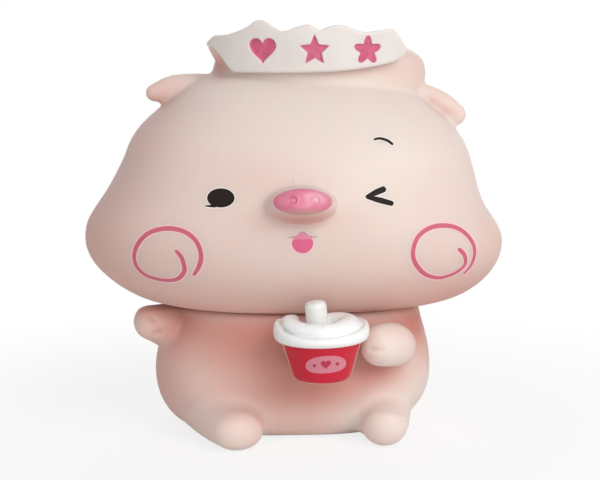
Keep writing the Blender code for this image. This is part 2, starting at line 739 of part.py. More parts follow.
def add_foot(name, side, vinyl, body_grown):
    # The foot at -X is a little larger, turned in and further forward
    out, ahead, turn, size = (-0.46, 0.74, -18, 1.0) if side < 0 else (0.585, 0.58, 4, 0.955)
    girth = FOOT_RADIUS * size
    toe = Vector((BODY_WIDTH / 2 * out, -BODY_FRONT - FOOT_RADIUS * ahead, girth))
    turn = math.radians(turn)
    way = Vector((-math.sin(turn), -math.cos(turn), 0))
    heel = toe - way * FOOT_LENGTH + Vector((0, 0, girth * 0.2))
    path = [heel, heel.lerp(toe, 0.55), toe - way * girth * 0.2]
    radii = [girth * 1.1, girth * 1.04, girth * 0.91]
    path[-1].z = radii[-1]
    path[1].z = radii[1] * 1.02
    foot = add_object(name, limb_mesh(name, path, radii, LIMB_SEGMENTS, 1.16), vinyl)
    cut(foot, body_grown)
    line = peg_line(in_body, heel, way, FOOT_RADIUS * 0.6, BODY_WIDTH)
    add_peg(foot, line, PEG_RADIUS)
    return line


# Tail
def add_tail(vinyl, body_grown):
    height = BODY_HEIGHT * 0.42
    inside = Vector((0, BODY_BACK * 0.5, height))
    spot = surface_hit(in_body, inside, Vector((0, 1, 0)), BODY_BACK)
    path = [spot + Vector((0, -TAIL_RADIUS, 0)), spot + Vector((0, TAIL_RADIUS * 0.5, 0))]
    middle = spot + Vector((0, TAIL_CURL * 1.15, TAIL_CURL))
    turns = 12
    for step in range(turns + 1):
        turn = math.radians(-90 + 225 * step / turns)
        drift = TAIL_CURL * 0.9 * (step / turns) ** 1.5
        path.append(middle + Vector((drift, math.cos(turn) * TAIL_CURL, math.sin(turn) * TAIL_CURL)))
    count = len(path)
    radii = [TAIL_RADIUS * lerp(1.1, 0.6, index / count) for index in range(count)]
    tail = add_object("tail", tail_mesh(path, radii), vinyl)
    cut(tail, body_grown)
    line = (spot - Vector((0, WALL * 1.5 + PEG_REACH, 0)), spot + Vector((0, TAIL_RADIUS * 0.6, 0)))
    add_peg(tail, line, TAIL_RADIUS * 0.7)
    return line


def tail_mesh(path, radii):
    rings = []
    across = Vector((1, 0, 0))
    for index, point in enumerate(path):
        before = path[max(index - 1, 0)]
        after = path[min(index + 1, len(path) - 1)]
        forward = (after - before).normalized()
        across = (across - forward * across.dot(forward)).normalized()
        upward = forward.cross(across)
        ring = []
        for step in range(SMALL_SEGMENTS):
            turn = math.tau * step / SMALL_SEGMENTS
            ring.append(point + (across * math.cos(turn) + upward * math.sin(turn)) * radii[index])
        rings.append(ring)
    tip = path[-1] + (path[-1] - path[-2]).normalized() * radii[-1] * 0.7
    return loft_mesh("tail", rings, last_pole=tip)


# Squeaker in the base
def add_squeaker(plastic, reed):
    inner = SQUEAKER_RADIUS - SQUEAKER_WALL
    base = FIT_GAP
    flange_base = WALL + FIT_GAP
    top = base + SQUEAKER_HEIGHT
    flange_radius = SQUEAKER_RADIUS + SQUEAKER_FLANGE
    outline = [
        (SQUEAKER_RADIUS, base), (SQUEAKER_RADIUS, flange_base),
        (flange_radius, flange_base), (flange_radius, flange_base + SQUEAKER_FLANGE / 2),
        (SQUEAKER_RADIUS * 0.97, flange_base + SQUEAKER_FLANGE), (SQUEAKER_RADIUS * 0.94, top),
    ]
    skin = turned_mesh("squeaker_housing", outline, ROUND_SEGMENTS)
    housing = add_object("squeaker_housing", skin, plastic)
    shelf = base + SQUEAKER_WALL + SQUEAKER_HEIGHT * 0.2
    overrun = Vector((0, 0, CUT_OVERRUN))
    floor = Vector((0, 0, 0))
    shelf_spot = Vector((0, 0, shelf))
    bore = rod("squeaker_bore", shelf_spot, Vector((0, 0, top)) + overrun, inner, ROUND_SEGMENTS)
    cut(housing, add_object("squeaker_bore", bore))
    mouth = rod("squeaker_mouth", floor - overrun, shelf_spot + overrun, inner * 0.55, ROUND_SEGMENTS)
    cut(housing, add_object("squeaker_mouth", mouth))
    cap_base = shelf + FIT_GAP
    cap_top = cap_base + SQUEAKER_WALL
    cap_radius = inner - FIT_GAP
    crest = (inner * 0.6, cap_top + SQUEAKER_WALL * 0.5)
    profile = [(cap_radius, cap_base), (cap_radius, cap_top), crest]
    cap = add_object("squeaker_cap", turned_mesh("squeaker_cap", profile, ROUND_SEGMENTS), reed)
    hole = rod("blow_hole", floor - overrun, Vector((0, 0, top)) + overrun, BLOW_HOLE)
    cut(cap, add_object("blow_hole", hole))


def add_shells(vinyl):
    head = add_object("head_shell", head_skin("head_shell"), vinyl)
    cut(head, add_object("head_hollow", head_skin("head_hollow", -WALL)))
    hole_base = Vector((0, 0, HEAD_BASE - CUT_OVERRUN))
    hole_top = Vector((0, 0, PLATE_INSIDE + NECK_FLANGE_HEIGHT))
    hole = rod("neck_hole", hole_base, hole_top, NECK_RADIUS + FIT_GAP, ROUND_SEGMENTS)
    cut(head, add_object("neck_hole", hole))
    body = add_object("body_shell", body_skin("body_shell"), vinyl)
    cut(body, add_object("neck_plug", neck_mesh("neck_plug")), "UNION")
    cut(body, add_object("body_hollow", body_skin("body_hollow", -WALL)))
    bore_base = Vector((0, 0, BODY_HEIGHT - WALL - CUT_OVERRUN))
    bore_top = hole_top + Vector((0, 0, CUT_OVERRUN))
    cut(body, add_object("neck_bore", rod("neck_bore", bore_base, bore_top, NECK_BORE, ROUND_SEGMENTS)))
    hole_radius = SQUEAKER_RADIUS + FIT_GAP
    hole_base = Vector((0, 0, -CUT_OVERRUN))
    hole = rod("base_hole", hole_base, Vector((0, 0, WALL * 2)), hole_radius, ROUND_SEGMENTS)
    cut(body, add_object("base_hole", hole))
    return head, body


def peg_holes(name, shell, lines):
    # Clearance holes in a shell for every peg that enters it
    rods = []
    for start, end, radius in lines:
        way = (end - start).normalized() * CUT_OVERRUN / 2
        rods.append((start - way, end, radius + FIT_GAP))
    cut(shell, join_rods(name, rods))


def build():
    clear_scene()
    vinyl = make_material("pink_vinyl", (0.76, 0.58, 0.53), 0.55)
    snout_paint = make_material("snout_paint", (0.70, 0.22, 0.31), 0.3)
    white_paint = make_material("sign_white", (0.66, 0.60, 0.57), 0.45)
    cup_paint = make_material("cup_red", (0.62, 0.035, 0.07), 0.35)
    lid_paint = make_material("lid_white", (0.94, 0.94, 0.93), 0.35)
    straw_paint = make_material("straw_white", (0.82, 0.84, 0.82), 0.4)
    plastic = make_material("squeaker_plastic", (0.78, 0.77, 0.72), 0.4)
    reed = make_material("squeaker_reed", (0.88, 0.86, 0.80), 0.45)
    head_grown = add_object("head_grown", head_skin("head_grown", FIT_GAP))
    body_grown = add_object("body_grown", body_skin("body_grown", FIT_GAP))
    crown_place = Matrix.Translation(crown_centre())
    crown_grown = add_object("crown_grown", crown_skin("crown_grown", FIT_GAP), place=crown_place)
    head, body = add_shells(vinyl)
    head_lines = []
    body_lines = []
    for name, side in (("ear_right", -1), ("ear_left", 1)):
        head_lines.append((*add_ear(name, side, vinyl, head_grown, crown_grown), PEG_RADIUS))
    head_lines.append((*add_snout(snout_paint, head_grown), PEG_RADIUS))
    crown, crown_line = add_crown(vinyl, head_grown)
    head_lines.append((*crown_line, PEG_RADIUS * 1.5))
    add_sign(white_paint, crown, head_grown)
    body_lines.append((*add_cup(cup_paint, lid_paint, straw_paint, body_grown), CUP_PEG_RADIUS))
    body_lines.append((*add_raised_arm(vinyl, body_grown), PEG_RADIUS))
    body_lines.append((*add_hold_arm(vinyl, body_grown), PEG_RADIUS))
    for name, side in (("foot_right", -1), ("foot_left", 1)):
        body_lines.append((*add_foot(name, side, vinyl, body_grown), PEG_RADIUS))
    body_lines.append((*add_tail(vinyl, body_grown), TAIL_RADIUS * 0.7))
    add_squeaker(plastic, reed)
    peg_holes("head_peg_holes", head, head_lines)
    peg_holes("body_peg_holes", body, body_lines)
    group_pieces()


def add_empty(name, location, parent=None):
    empty = bpy.data.objects.new(name, None)
    bpy.context.scene.collection.objects.link(empty)
    empty.location = location
    empty.parent = parent
    return empty


def group_pieces():
    # The head's pieces hang from an empty on the neck's axis, the rest from the figure's own empty
    pieces = list(bpy.data.objects)
    figure = add_empty("figure", Vector((0, 0, 0)))
    neck = add_empty("neck_axis", Vector((0, 0, NECK_PLATE)), figure)
    head_names = {"head_shell", "ear_right", "ear_left", "snout", "hat_crown", "hat_sign"}
    for piece in pieces:
        moves = piece.name in head_names
        piece.parent = neck if moves else figure
        if moves:
            piece.location.z -= NECK_PLATE
    centre_figure(figure, pieces)


def centre_figure(figure, pieces):
    # The figure stands with the middle of its outline over the origin
    bpy.context.view_layer.update()
    graph = bpy.context.evaluated_depsgraph_get()
    points = []
    for piece in pieces:
        if not piece.hide_render:
            solid = piece.evaluated_get(graph)
            points.extend(solid.matrix_world @ vertex.co for vertex in solid.data.vertices)
    for axis in (0, 1):
        values = [point[axis] for point in points]
        figure.location[axis] = -(min(values) + max(values)) / 2


build()
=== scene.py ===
import json
import math

import bmesh
import bpy
from mathutils import Matrix, Vector
from mathutils.bvhtree import BVHTree


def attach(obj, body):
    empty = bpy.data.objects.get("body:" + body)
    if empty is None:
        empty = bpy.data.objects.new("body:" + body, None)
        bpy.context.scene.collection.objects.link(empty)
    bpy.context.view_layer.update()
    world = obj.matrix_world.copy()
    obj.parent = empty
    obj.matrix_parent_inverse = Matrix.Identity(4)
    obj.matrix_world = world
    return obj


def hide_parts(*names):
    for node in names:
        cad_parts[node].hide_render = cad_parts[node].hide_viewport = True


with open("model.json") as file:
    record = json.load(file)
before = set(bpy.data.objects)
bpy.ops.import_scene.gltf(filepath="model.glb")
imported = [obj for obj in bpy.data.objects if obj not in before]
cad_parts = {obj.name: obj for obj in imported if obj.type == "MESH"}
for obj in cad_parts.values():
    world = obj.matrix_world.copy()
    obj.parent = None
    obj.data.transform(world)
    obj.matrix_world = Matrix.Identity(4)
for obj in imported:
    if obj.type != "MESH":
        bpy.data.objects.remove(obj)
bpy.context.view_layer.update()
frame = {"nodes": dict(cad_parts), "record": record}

mm = 0.001
# All forms are drawn round the neck's axis and moved onto it when they are finished
neckAxis = Vector(frame["record"]["behaviour"]["joints"][0]["pos_m"])
onNeck = Matrix.Translation((neckAxis.x, neckAxis.y, 0))
print("frame loaded, neck axis at", tuple(round(value, 4) for value in neckAxis))


def clamp(value):
    return max(0.0, min(1.0, value))


def softStep(share):
    # A share from 0 to 1, eased at both ends
    return share * share * (3 - 2 * share)


def turnsRound(count, start=0.0):
    # Angles in even steps round a full turn
    return [math.tau * (step + start) / count for step in range(count)]


def turnsBetween(start, end, steps=24):
    # Angles in even steps from one number of degrees to another
    return [math.radians(start + (end - start) * step / steps) for step in range(steps + 1)]


def placeObject(name, data):
    thing = bpy.data.objects.new(name, data)
    bpy.context.scene.collection.objects.link(thing)
    return thing


def meshFrom(name, bm):
    mesh = bpy.data.meshes.new(name)
    bm.to_mesh(mesh)
    bm.free()
    return mesh


# The camera looks from the photo's viewing angle
view = {
    "distance": 300 * mm,   # from the target
    "azimuth": math.radians(-3),
    "elevation": math.radians(8),
    "target": Vector((1.0, 0.0, 38.4)) * mm,   # from the neck's axis
    "lens": 85.7,
    "sensor": 36,
    "clip": (0.01, 20),
}


def makeCamera():
    data = bpy.data.cameras.new("photoCamera")
    data.lens = view["lens"]
    data.sensor_width = view["sensor"]
    data.clip_start, data.clip_end = view["clip"]
    camera = placeObject("photoCamera", data)
    turn, tilt = view["azimuth"], view["elevation"]
    back = Vector((math.sin(turn) * math.cos(tilt), -math.cos(turn) * math.cos(tilt), math.sin(tilt)))
    camera.location = onNeck @ (view["target"] + back * view["distance"])
    camera.rotation_euler = back.to_track_quat("Z", "Y").to_euler()
    bpy.context.scene.camera = camera
    return view["target"] + back * view["distance"]


eyePoint = makeCamera()   # from the neck's axis


def newMaterial(name):
    material = bpy.data.materials.new(name)
    material.use_nodes = True
    shader = material.node_tree.nodes["Principled BSDF"]
    return material, material.node_tree, shader


def tuneShader(material, values):
    for name, value in values.items():
        material.node_tree.nodes["Principled BSDF"].inputs[name].default_value = value


def addNode(tree, kind, **values):
    node = tree.nodes.new(kind)
    for key, value in values.items():
        setattr(node, key, value)
    return node


def objectNoise(tree, scale, detail=3.0, roughness=0.5):
    place = addNode(tree, "ShaderNodeTexCoord")
    cloud = addNode(tree, "ShaderNodeTexNoise")
    cloud.inputs["Scale"].default_value = scale
    cloud.inputs["Detail"].default_value = detail
    cloud.inputs["Roughness"].default_value = roughness
    tree.links.new(place.outputs["Object"], cloud.inputs["Vector"])
    return cloud.outputs["Fac"]


def remap(tree, source, low, high, outLow, outHigh):
    node = addNode(tree, "ShaderNodeMapRange")
    for socket, value in (("From Min", low), ("From Max", high), ("To Min", outLow), ("To Max", outHigh)):
        node.inputs[socket].default_value = value
    tree.links.new(source, node.inputs["Value"])
    return node.outputs["Result"]


def mixColour(tree, factor, first, second):
    node = addNode(tree, "ShaderNodeMix", data_type="RGBA")
    for slot, value in ((6, first), (7, second)):
        if isinstance(value, tuple):
            node.inputs[slot].default_value = (*value, 1)
        else:
            tree.links.new(value, node.inputs[slot])
    tree.links.new(factor, node.inputs[0])
    return node.outputs[2]


def mathNode(tree, operation, *values, **settings):
    # Works a number out from sockets or plain numbers
    node = addNode(tree, "ShaderNodeMath", operation=operation, **settings)
    for slot, value in enumerate(values):
        if isinstance(value, float):
            node.inputs[slot].default_value = value
        else:
            tree.links.new(value, node.inputs[slot])
    return node.outputs[0]


def storedShare(tree, name):
    # A share stored at each point of the piece
    return addNode(tree, "ShaderNodeAttribute", attribute_name=name).outputs["Fac"]


def addBump(tree, shader, height, strength, distance, under=None):
    node = addNode(tree, "ShaderNodeBump")
    node.inputs["Strength"].default_value = strength
    node.inputs["Distance"].default_value = distance
    tree.links.new(height, node.inputs["Height"])
    if under is not None:
        tree.links.new(under, node.inputs["Normal"])
    tree.links.new(node.outputs["Normal"], shader.inputs["Normal"])
    return node.outputs["Normal"]


def addSurface(tree, shader, scales, gloss, broad, grain):
    # Gloss that wanders between two values, broad unevenness and fine grain: strength and depth of each
    shine = remap(tree, objectNoise(tree, scales["gloss"], 3), 0.3, 0.7, *gloss)
    tree.links.new(shine, shader.inputs["Roughness"])
    under = addBump(tree, shader, objectNoise(tree, scales["broad"], 2), *broad)
    addBump(tree, shader, objectNoise(tree, scales["grain"], 2), *grain, under)


def heightShare(tree, low, high):
    # 0 at one height of the figure and 1 at another, along Z of Object coordinates
    place = addNode(tree, "ShaderNodeTexCoord")
    split = addNode(tree, "ShaderNodeSeparateXYZ")
    tree.links.new(place.outputs["Object"], split.inputs[0])
    return remap(tree, split.outputs["Z"], low, high, 0.0, 1.0)


def addGlow(shader, share, reach, depth):
    # Light that enters the surface and comes out near by
    shader.inputs["Subsurface Weight"].default_value = share
    shader.inputs["Subsurface Radius"].default_value = reach
    shader.inputs["Subsurface Scale"].default_value = depth


vinyl = {
    "pale": (0.80, 0.685, 0.632),
    # the warm tone is painted shade, laid at the heights turned from the light: under the chin and at the
    # neck under the head
    "heightShadeTone": (0.77, 0.580, 0.520),
    # painted shade: the tone of the darkest painted shading, in creases and under other parts
    "crease": (0.56, 0.19, 0.145),
    "mottle": 0.35,
    "roughness": 0.54,
    "glow": 0.42,
    "glowDepth": 3.4 * mm,
    "glowReach": (1.0, 0.38, 0.28),
    # strength and depth of the broad unevenness and of the fine grain
    "broad": (0.10, 0.5 * mm),
    "grain": (0.05, 0.1 * mm),
    # specks in the vinyl: scale, detail and roughness of their noise, where in it they start and end
    "specks": (420, 2, 0.7),
    "speckEdge": (0.745, 0.77),
    "speckShare": 0.35,
    "speckColour": (0.42, 0.26, 0.21),
    # noise scales of the colour clouds, the gloss, the broad unevenness and the fine grain
    "scales": {"cloud": 55, "gloss": 160, "broad": 90, "grain": 2600},
}


def vinylMaterial(name, low, high):
    # Painted shade by height: a warmer, darker tone at one height fading to the pale vinyl at another;
    # deeper pink painted shade where the stored share is above 0, and painted light, paler, where it is
    # below 0
    scales = vinyl["scales"]
    material, tree, shader = newMaterial(name)
    rise = heightShare(tree, low, high)
    half = 0.5 * vinyl["mottle"]
    cloud = remap(tree, objectNoise(tree, scales["cloud"], 4), 0.3, 0.7, -half, half)
    paintedShading = storedShare(tree, "paintedShading")
    paler = mathNode(tree, "SUBTRACT", rise, mathNode(tree, "MINIMUM", paintedShading, 0.0))
    pale = mathNode(tree, "ADD", paler, cloud, use_clamp=True)
    tone = mixColour(tree, pale, vinyl["heightShadeTone"], vinyl["pale"])
    tone = mixColour(tree, paintedShading, tone, vinyl["crease"])
    specks = remap(tree, objectNoise(tree, *vinyl["specks"]), *vinyl["speckEdge"], 0.0, vinyl["speckShare"])
    tone = mixColour(tree, specks, tone, vinyl["speckColour"])
    tree.links.new(tone, shader.inputs["Base Color"])
    addGlow(shader, vinyl["glow"], vinyl["glowReach"], vinyl["glowDepth"])
    gloss = (vinyl["roughness"] - 0.05, vinyl["roughness"] + 0.07)
    addSurface(tree, shader, scales, gloss, vinyl["broad"], vinyl["grain"])
    return material


paint = {
    "mottle": 0.5,
    "coatRoughness": 0.12,
    "glowReach": (1.0, 0.5, 0.45),
    "glowDepth": 1.2 * mm,
    "scales": {"cloud": 240, "gloss": 700, "broad": 330, "grain": 3600},
    "bareVinyl": (0.83, 0.50, 0.46),
}


def paintMaterial(name, colour, unevenColour, roughness, coat=0.0, grain=0.05, broadGrain=0.12, glow=0.0):
    scales = paint["scales"]
    material, tree, shader = newMaterial(name)
    cloud = remap(tree, objectNoise(tree, scales["cloud"], 4), 0.35, 0.75, 0.0, paint["mottle"])
    tone = mixColour(tree, cloud, colour, unevenColour)
    tree.links.new(tone, shader.inputs["Base Color"])
    tuneShader(material, {"Coat Weight": coat, "Coat Roughness": paint["coatRoughness"]})
    if glow:
        addGlow(shader, glow, paint["glowReach"], paint["glowDepth"])
    gloss = (roughness - 0.05, roughness + 0.08)
    addSurface(tree, shader, scales, gloss, (broadGrain, 0.2 * mm), (grain, 0.06 * mm))
    return material


def partPainted(name, colour, unevenColour, roughness, bareColour=None, highlightColour=None, **finish):
    # Paint that stops where the mask ended, with bare vinyl beyond, and a paler painted highlight where a
    # share of it is stored
    material = paintMaterial(name, colour, unevenColour, roughness, **finish)
    tree = material.node_tree
    shader = tree.nodes["Principled BSDF"]
    link = shader.inputs["Base Color"].links[0]
    painted = link.from_socket
    tree.links.remove(link)
    bare = addNode(tree, "ShaderNodeRGB")
    bare.outputs[0].default_value = (*(bareColour or paint["bareVinyl"]), 1)
    # a painted highlight: a paler tone mixed over the paint
    if highlightColour:
        painted = mixColour(tree, storedShare(tree, "highlightShare"), painted, highlightColour)
    tone = mixColour(tree, storedShare(tree, "paint"), bare.outputs[0], painted)
    tree.links.new(tone, shader.inputs["Base Color"])
    return material


signPaint = {
    "white": ((0.76, 0.71, 0.68), (0.70, 0.64, 0.61)),
    "mottle": 0.7,
    "pink": ((0.66, 0.13, 0.24), (0.54, 0.075, 0.17)),
    "pinkEdge": (0.80, 0.46, 0.50),
    # depth of a mark, as a share, at which the pale edge and the full pink start and end
    "edgeDepth": (0.02, 0.30),
    "fullDepth": (0.35, 0.75),
    "roughness": (0.30, 0.42),
    "glow": (0.12, (1.0, 0.6, 0.5), 1.0 * mm),
    "coat": {"Coat Weight": 0.2, "Coat Roughness": 0.15},
    "broad": (0.12, 0.25 * mm),
    "grain": (0.05, 0.06 * mm),
    "scales": {"cloud": 200, "pink": 900, "gloss": 600, "broad": 260, "grain": 3200},
}


def signMaterial():
    # White paint, with pink paint wiped into the sunk marks
    scales = signPaint["scales"]
    material, tree, shader = newMaterial("signPaint")
    cloud = remap(tree, objectNoise(tree, scales["cloud"], 4), 0.35, 0.75, 0.0, signPaint["mottle"])
    white = mixColour(tree, cloud, *signPaint["white"])
    mark = storedShare(tree, "mark")
    uneven = remap(tree, objectNoise(tree, scales["pink"], 3), 0.3, 0.7, 0.0, 1.0)
    pink = mixColour(tree, uneven, *signPaint["pink"])
    soft = remap(tree, mark, *signPaint["edgeDepth"], 0.0, 1.0)
    full = remap(tree, mark, *signPaint["fullDepth"], 0.0, 1.0)
    tone = mixColour(tree, soft, white, signPaint["pinkEdge"])
    tone = mixColour(tree, full, tone, pink)
    tree.links.new(tone, shader.inputs["Base Color"])
    addGlow(shader, *signPaint["glow"])
    tuneShader(material, signPaint["coat"])
    addSurface(tree, shader, scales, signPaint["roughness"], signPaint["broad"], signPaint["grain"])
    return material


# Each vinyl gets painted shade by height, darker and warmer where shade falls: the head towards its chin,
# the body towards its neck
headVinyl = vinylMaterial("headVinyl", 24 * mm, 58 * mm)
bodyVinyl = vinylMaterial("bodyVinyl", 56 * mm, -6 * mm)
# The snout's paler tone is a painted highlight by the right nostril
snoutPink = partPainted(
    "snoutPink", (0.68, 0.165, 0.27), (0.63, 0.135, 0.235), 0.36,
    bareColour=(0.60, 0.29, 0.27), highlightColour=(0.84, 0.50, 0.58), coat=0.65, broadGrain=0.03, glow=0.12,
)
tuneShader(snoutPink, {"Coat Roughness": 0.24, "Coat IOR": 1.6})
swirlPink = paintMaterial("swirlPink", (0.62, 0.125, 0.185), (0.53, 0.09, 0.14), 0.42)
mouthPink = paintMaterial("mouthPink", (0.74, 0.13, 0.26), (0.66, 0.10, 0.21), 0.4)
lipPink = paintMaterial("lipPink", (0.76, 0.25, 0.36), (0.72, 0.21, 0.32), 0.4)
lipLinePink = paintMaterial("lipLinePink", (0.50, 0.23, 0.27), (0.44, 0.19, 0.22), 0.45)
eyeBlack = paintMaterial("eyeBlack", (0.014, 0.009, 0.008), (0.024, 0.016, 0.013), 0.5)
tuneShader(eyeBlack, {"Specular IOR Level": 0.12})
paleEdge = paintMaterial("paleEdge", (0.88, 0.82, 0.78), (0.86, 0.79, 0.74), 0.5)
pinkEdge = paintMaterial("pinkEdge", (0.90, 0.60, 0.62), (0.88, 0.56, 0.58), 0.5)
signWhite = signMaterial()
cupPaint = partPainted("cupPaint", (0.60, 0.014, 0.040), (0.53, 0.010, 0.030), 0.44)
tuneShader(cupPaint, {"Specular IOR Level": 0.3})
lidPaint = partPainted(
    "lidPaint", (0.92, 0.945, 0.945), (0.90, 0.925, 0.925), 0.30, coat=0.4, grain=0.02, broadGrain=0.05,
)
strawWhite = paintMaterial("strawWhite", (0.82, 0.83, 0.81), (0.77, 0.78, 0.77), 0.3, coat=0.2)
emblemPink = paintMaterial("emblemPink", (0.66, 0.23, 0.29), (0.58, 0.17, 0.23), 0.36)
heartRed = paintMaterial("heartRed", (0.50, 0.03, 0.07), (0.44, 0.02, 0.05), 0.36)
squeakerPlastic = paintMaterial("squeakerPlastic", (0.74, 0.72, 0.66), (0.68, 0.66, 0.60), 0.42)
reedPlastic = paintMaterial("reedPlastic", (0.62, 0.60, 0.55), (0.56, 0.54, 0.49), 0.5)
print("materials made")


def smoothRows(rows, count):
    # Rows of a table drawn out into an even run of rows on a smooth curve through them
    out = []
    last = len(rows) - 1
    for step in range(count):
        at = last * step / (count - 1)
        index = min(int(at), last - 1)
        t = at - index
        a, b = rows[max(index - 1, 0)], rows[index]
        c, d = rows[index + 1], rows[min(index + 2, last)]
        row = []
        for p, q, r, s in zip(a, b, c, d):
            second, third = 2 * p - 5 * q + 4 * r - s, 3 * q - p - 3 * r + s
            row.append(0.5 * (2 * q + (r - p) * t + second * t * t + third * t ** 3))
        out.append(row)
    return out


def extrudeRings(bm, rings, firstPole=None, lastPole=None, openStart=False):
    # A circle's edge extruded from ring to ring; a pole closes an end, or a flat face does
    verts = bmesh.ops.create_circle(bm, cap_ends=False, segments=len(rings[0]), radius=1.0)["verts"]
    edges = list({edge for vert in verts for edge in vert.link_edges})
    for vert, spot in zip(verts, rings[0]):
        vert.co = spot
    first = list(verts)
    for ring in rings[1:]:
        grown = bmesh.ops.extrude_edge_only(bm, edges=edges)["geom"]
        newVerts = {item for item in grown if isinstance(item, bmesh.types.BMVert)}
        verts = [next(e.other_vert(v) for e in v.link_edges if e.other_vert(v) in newVerts) for v in verts]
        for vert, spot in zip(verts, ring):
            vert.co = spot
        around = {edge for vert in verts for edge in vert.link_edges}
        edges = [edge for edge in around if edge.verts[0] in newVerts and edge.verts[1] in newVerts]
    for ends, pole in ((first, firstPole), (verts, lastPole)):
        if openStart and ends is first:
            continue
        cap = bmesh.ops.contextual_create(bm, geom=ends)["faces"]
        if pole is not None:
            middle = bmesh.ops.poke(bm, faces=cap)["verts"][0]
            middle.co = pole
    bmesh.ops.recalc_face_normals(bm, faces=bm.faces[:])
    return first, verts


def ovalRing(row, count, frontPower=2.35, backPower=2.1):
    # A ring from its height, half widths to the left and right and depths to the front and back in mm
    height, left, right, front, back = (value * mm for value in row)
    ring = []
    for angle in turnsRound(count, 0.5):
        across, along = math.cos(angle), math.sin(angle)
        power, depth = (frontPower, front) if along > 0 else (backPower, back)
        x = math.copysign(abs(across) ** (2 / power), across) * (left if across < 0 else right)
        y = -math.copysign(abs(along) ** (2 / power), along) * depth
        ring.append(Vector((x, y, height)))
    return ring


limb = {
    "around": 40,   # points in a ring
    "along": 28,    # rings before the tip
    "tip": (0.18, 0.35, 0.5, 0.64, 0.77, 0.88, 0.96),   # rings of the round tip, in quarter turns
}


def limbRings(path, radii, flat):
    count, samples = limb["around"], limb["along"]
    rows = smoothRows([(*spot, radius) for spot, radius in zip(path, radii)], samples)
    spots = [Vector(row[:3]) for row in rows]
    rings = []
    for index, row in enumerate(rows):
        way = (spots[min(index + 1, samples - 1)] - spots[max(index - 1, 0)]).normalized()
        rings.append(limbRing(spots[index], way, row[3], flat, count))
    way = (spots[-1] - spots[-2]).normalized()
    for turn in limb["tip"]:
        angle = math.pi / 2 * turn
        spot = spots[-1] + way * math.sin(angle) * rows[-1][3]
        rings.append(limbRing(spot, way, rows[-1][3] * math.cos(angle), flat, count))
    return rings, spots[-1] + way * rows[-1][3]


def limbRing(centre, way, radius, flat, count):
    side = Vector((0, 0, 1)).cross(way).normalized()
    upward = way.cross(side)
    return [
        centre + upward * radius * math.cos(turn) + side * radius * flat * math.sin(turn)
        for turn in turnsRound(count)
    ]


def addLimb(bm, path, radii, flat=1.0):
    # A round-tipped form along a smooth centre line; flat is its width over its height
    rings, tip = limbRings([Vector(spot) * mm for spot in path], [radius * mm for radius in radii], flat)
    part = bmesh.new()
    extrudeRings(part, rings, lastPole=tip)
    copyInto(part, bm)


def copyInto(part, bm):
    mesh = meshFrom("part", part)
    bm.from_mesh(mesh)
    bpy.data.meshes.remove(mesh)


def addPiece(name, bm, material):
    # A smooth-shaded piece with one material, its object at the origin
    mesh = meshFrom(name, bm)
    for face in mesh.polygons:
        face.use_smooth = True
    mesh.materials.append(material)
    return placeObject(name, mesh)


def settle(piece):
    # Applies the live modifiers of a piece to its mesh
    bpy.context.view_layer.update()
    graph = bpy.context.evaluated_depsgraph_get()
    mesh = bpy.data.meshes.new_from_object(piece.evaluated_get(graph), depsgraph=graph)
    piece.modifiers.clear()
    old = piece.data
    piece.data = mesh
    bpy.data.meshes.remove(old)
    mesh.name = piece.name
    for face in mesh.polygons:
        face.use_smooth = True


def fuse(piece, voxel, rounds):
    # One skin over forms that run into each other, with their joins eased in so many rounds
    remesh = piece.modifiers.new("oneSkin", "REMESH")
    remesh.mode = "VOXEL"
    remesh.voxel_size = voxel
    remesh.adaptivity = 0
    remesh.use_smooth_shade = True
    ease = piece.modifiers.new("easeJoins", "SMOOTH")
    ease.factor = 0.5
    ease.iterations = rounds
    settle(piece)


def easeNear(piece, place, reach, rounds):
    # Smooths the skin near one place
    bm = bmesh.new()
    bm.from_mesh(piece.data)
    near = [vert for vert in bm.verts if (vert.co - place).length < reach]
    for _ in range(rounds):
        bmesh.ops.smooth_vert(bm, verts=near, factor=0.5, use_axis_x=True, use_axis_y=True, use_axis_z=True)
    bm.to_mesh(piece.data)
    bm.free()


def combine(piece, bm, operation):
    # Joins a closed form to a piece or takes it out
    mesh = meshFrom("tool", bm)
    tool = placeObject("tool", mesh)
    modifier = piece.modifiers.new("combine", "BOOLEAN")
    modifier.operation = operation
    modifier.solver = "EXACT"
    modifier.object = tool
    settle(piece)
    bpy.data.objects.remove(tool)
    bpy.data.meshes.remove(mesh)


def pressGroove(piece, path, depth, width, fade=0.3):
    # Presses a soft groove into the skin along a short path, deepest in its middle
    depth, width = depth * mm, width * mm
    normals = [vertex.normal.copy() for vertex in piece.data.vertices]
    for vertex, normal in zip(piece.data.vertices, normals):
        best, where = nearestOnPath(path, vertex.co)
        if best < width * 3:
            ends = min(1.0, min(where, 1 - where) / fade + 0.15)   # shallower at both ends
            vertex.co -= normal * depth * ends * math.exp(-(best / width) ** 2)


def nearestOnPath(path, spot):
    best, where = 1e9, 0
    for index, (a, b) in enumerate(zip(path, path[1:])):
        along = b - a
        share = clamp((spot - a).dot(along) / along.length_squared)
        gap = (a + along * share - spot).length
        if gap < best:
            best, where = gap, (index + share) / (len(path) - 1)
    return best, where


def skinTree(piece):
    # The piece's surface, to find places on it
    spots = [vertex.co.copy() for vertex in piece.data.vertices]
    return BVHTree.FromPolygons(spots, [tuple(face.vertices) for face in piece.data.polygons])


def storeShares(piece, name, values):
    piece.data.attributes.new(name, "FLOAT", "POINT").data.foreach_set("value", values)


def paintShadeNear(piece, spots):
    # Painted shade and painted light stored at each point: deeper pink where creases, turned-away sides and
    # the shadows of other parts fall, and paler where the strength is below 0: place, reach along each axis
    # and strength
    values = []
    for vertex in piece.data.vertices:
        bare = 1.0
        for place, reach, strength in spots:
            gap = sum(((at / mm - middle) / wide) ** 2 for at, middle, wide in zip(vertex.co, place, reach))
            bare *= 1 - strength * math.exp(-gap)
        values.append(1 - bare)
    storeShares(piece, "paintedShading", values)


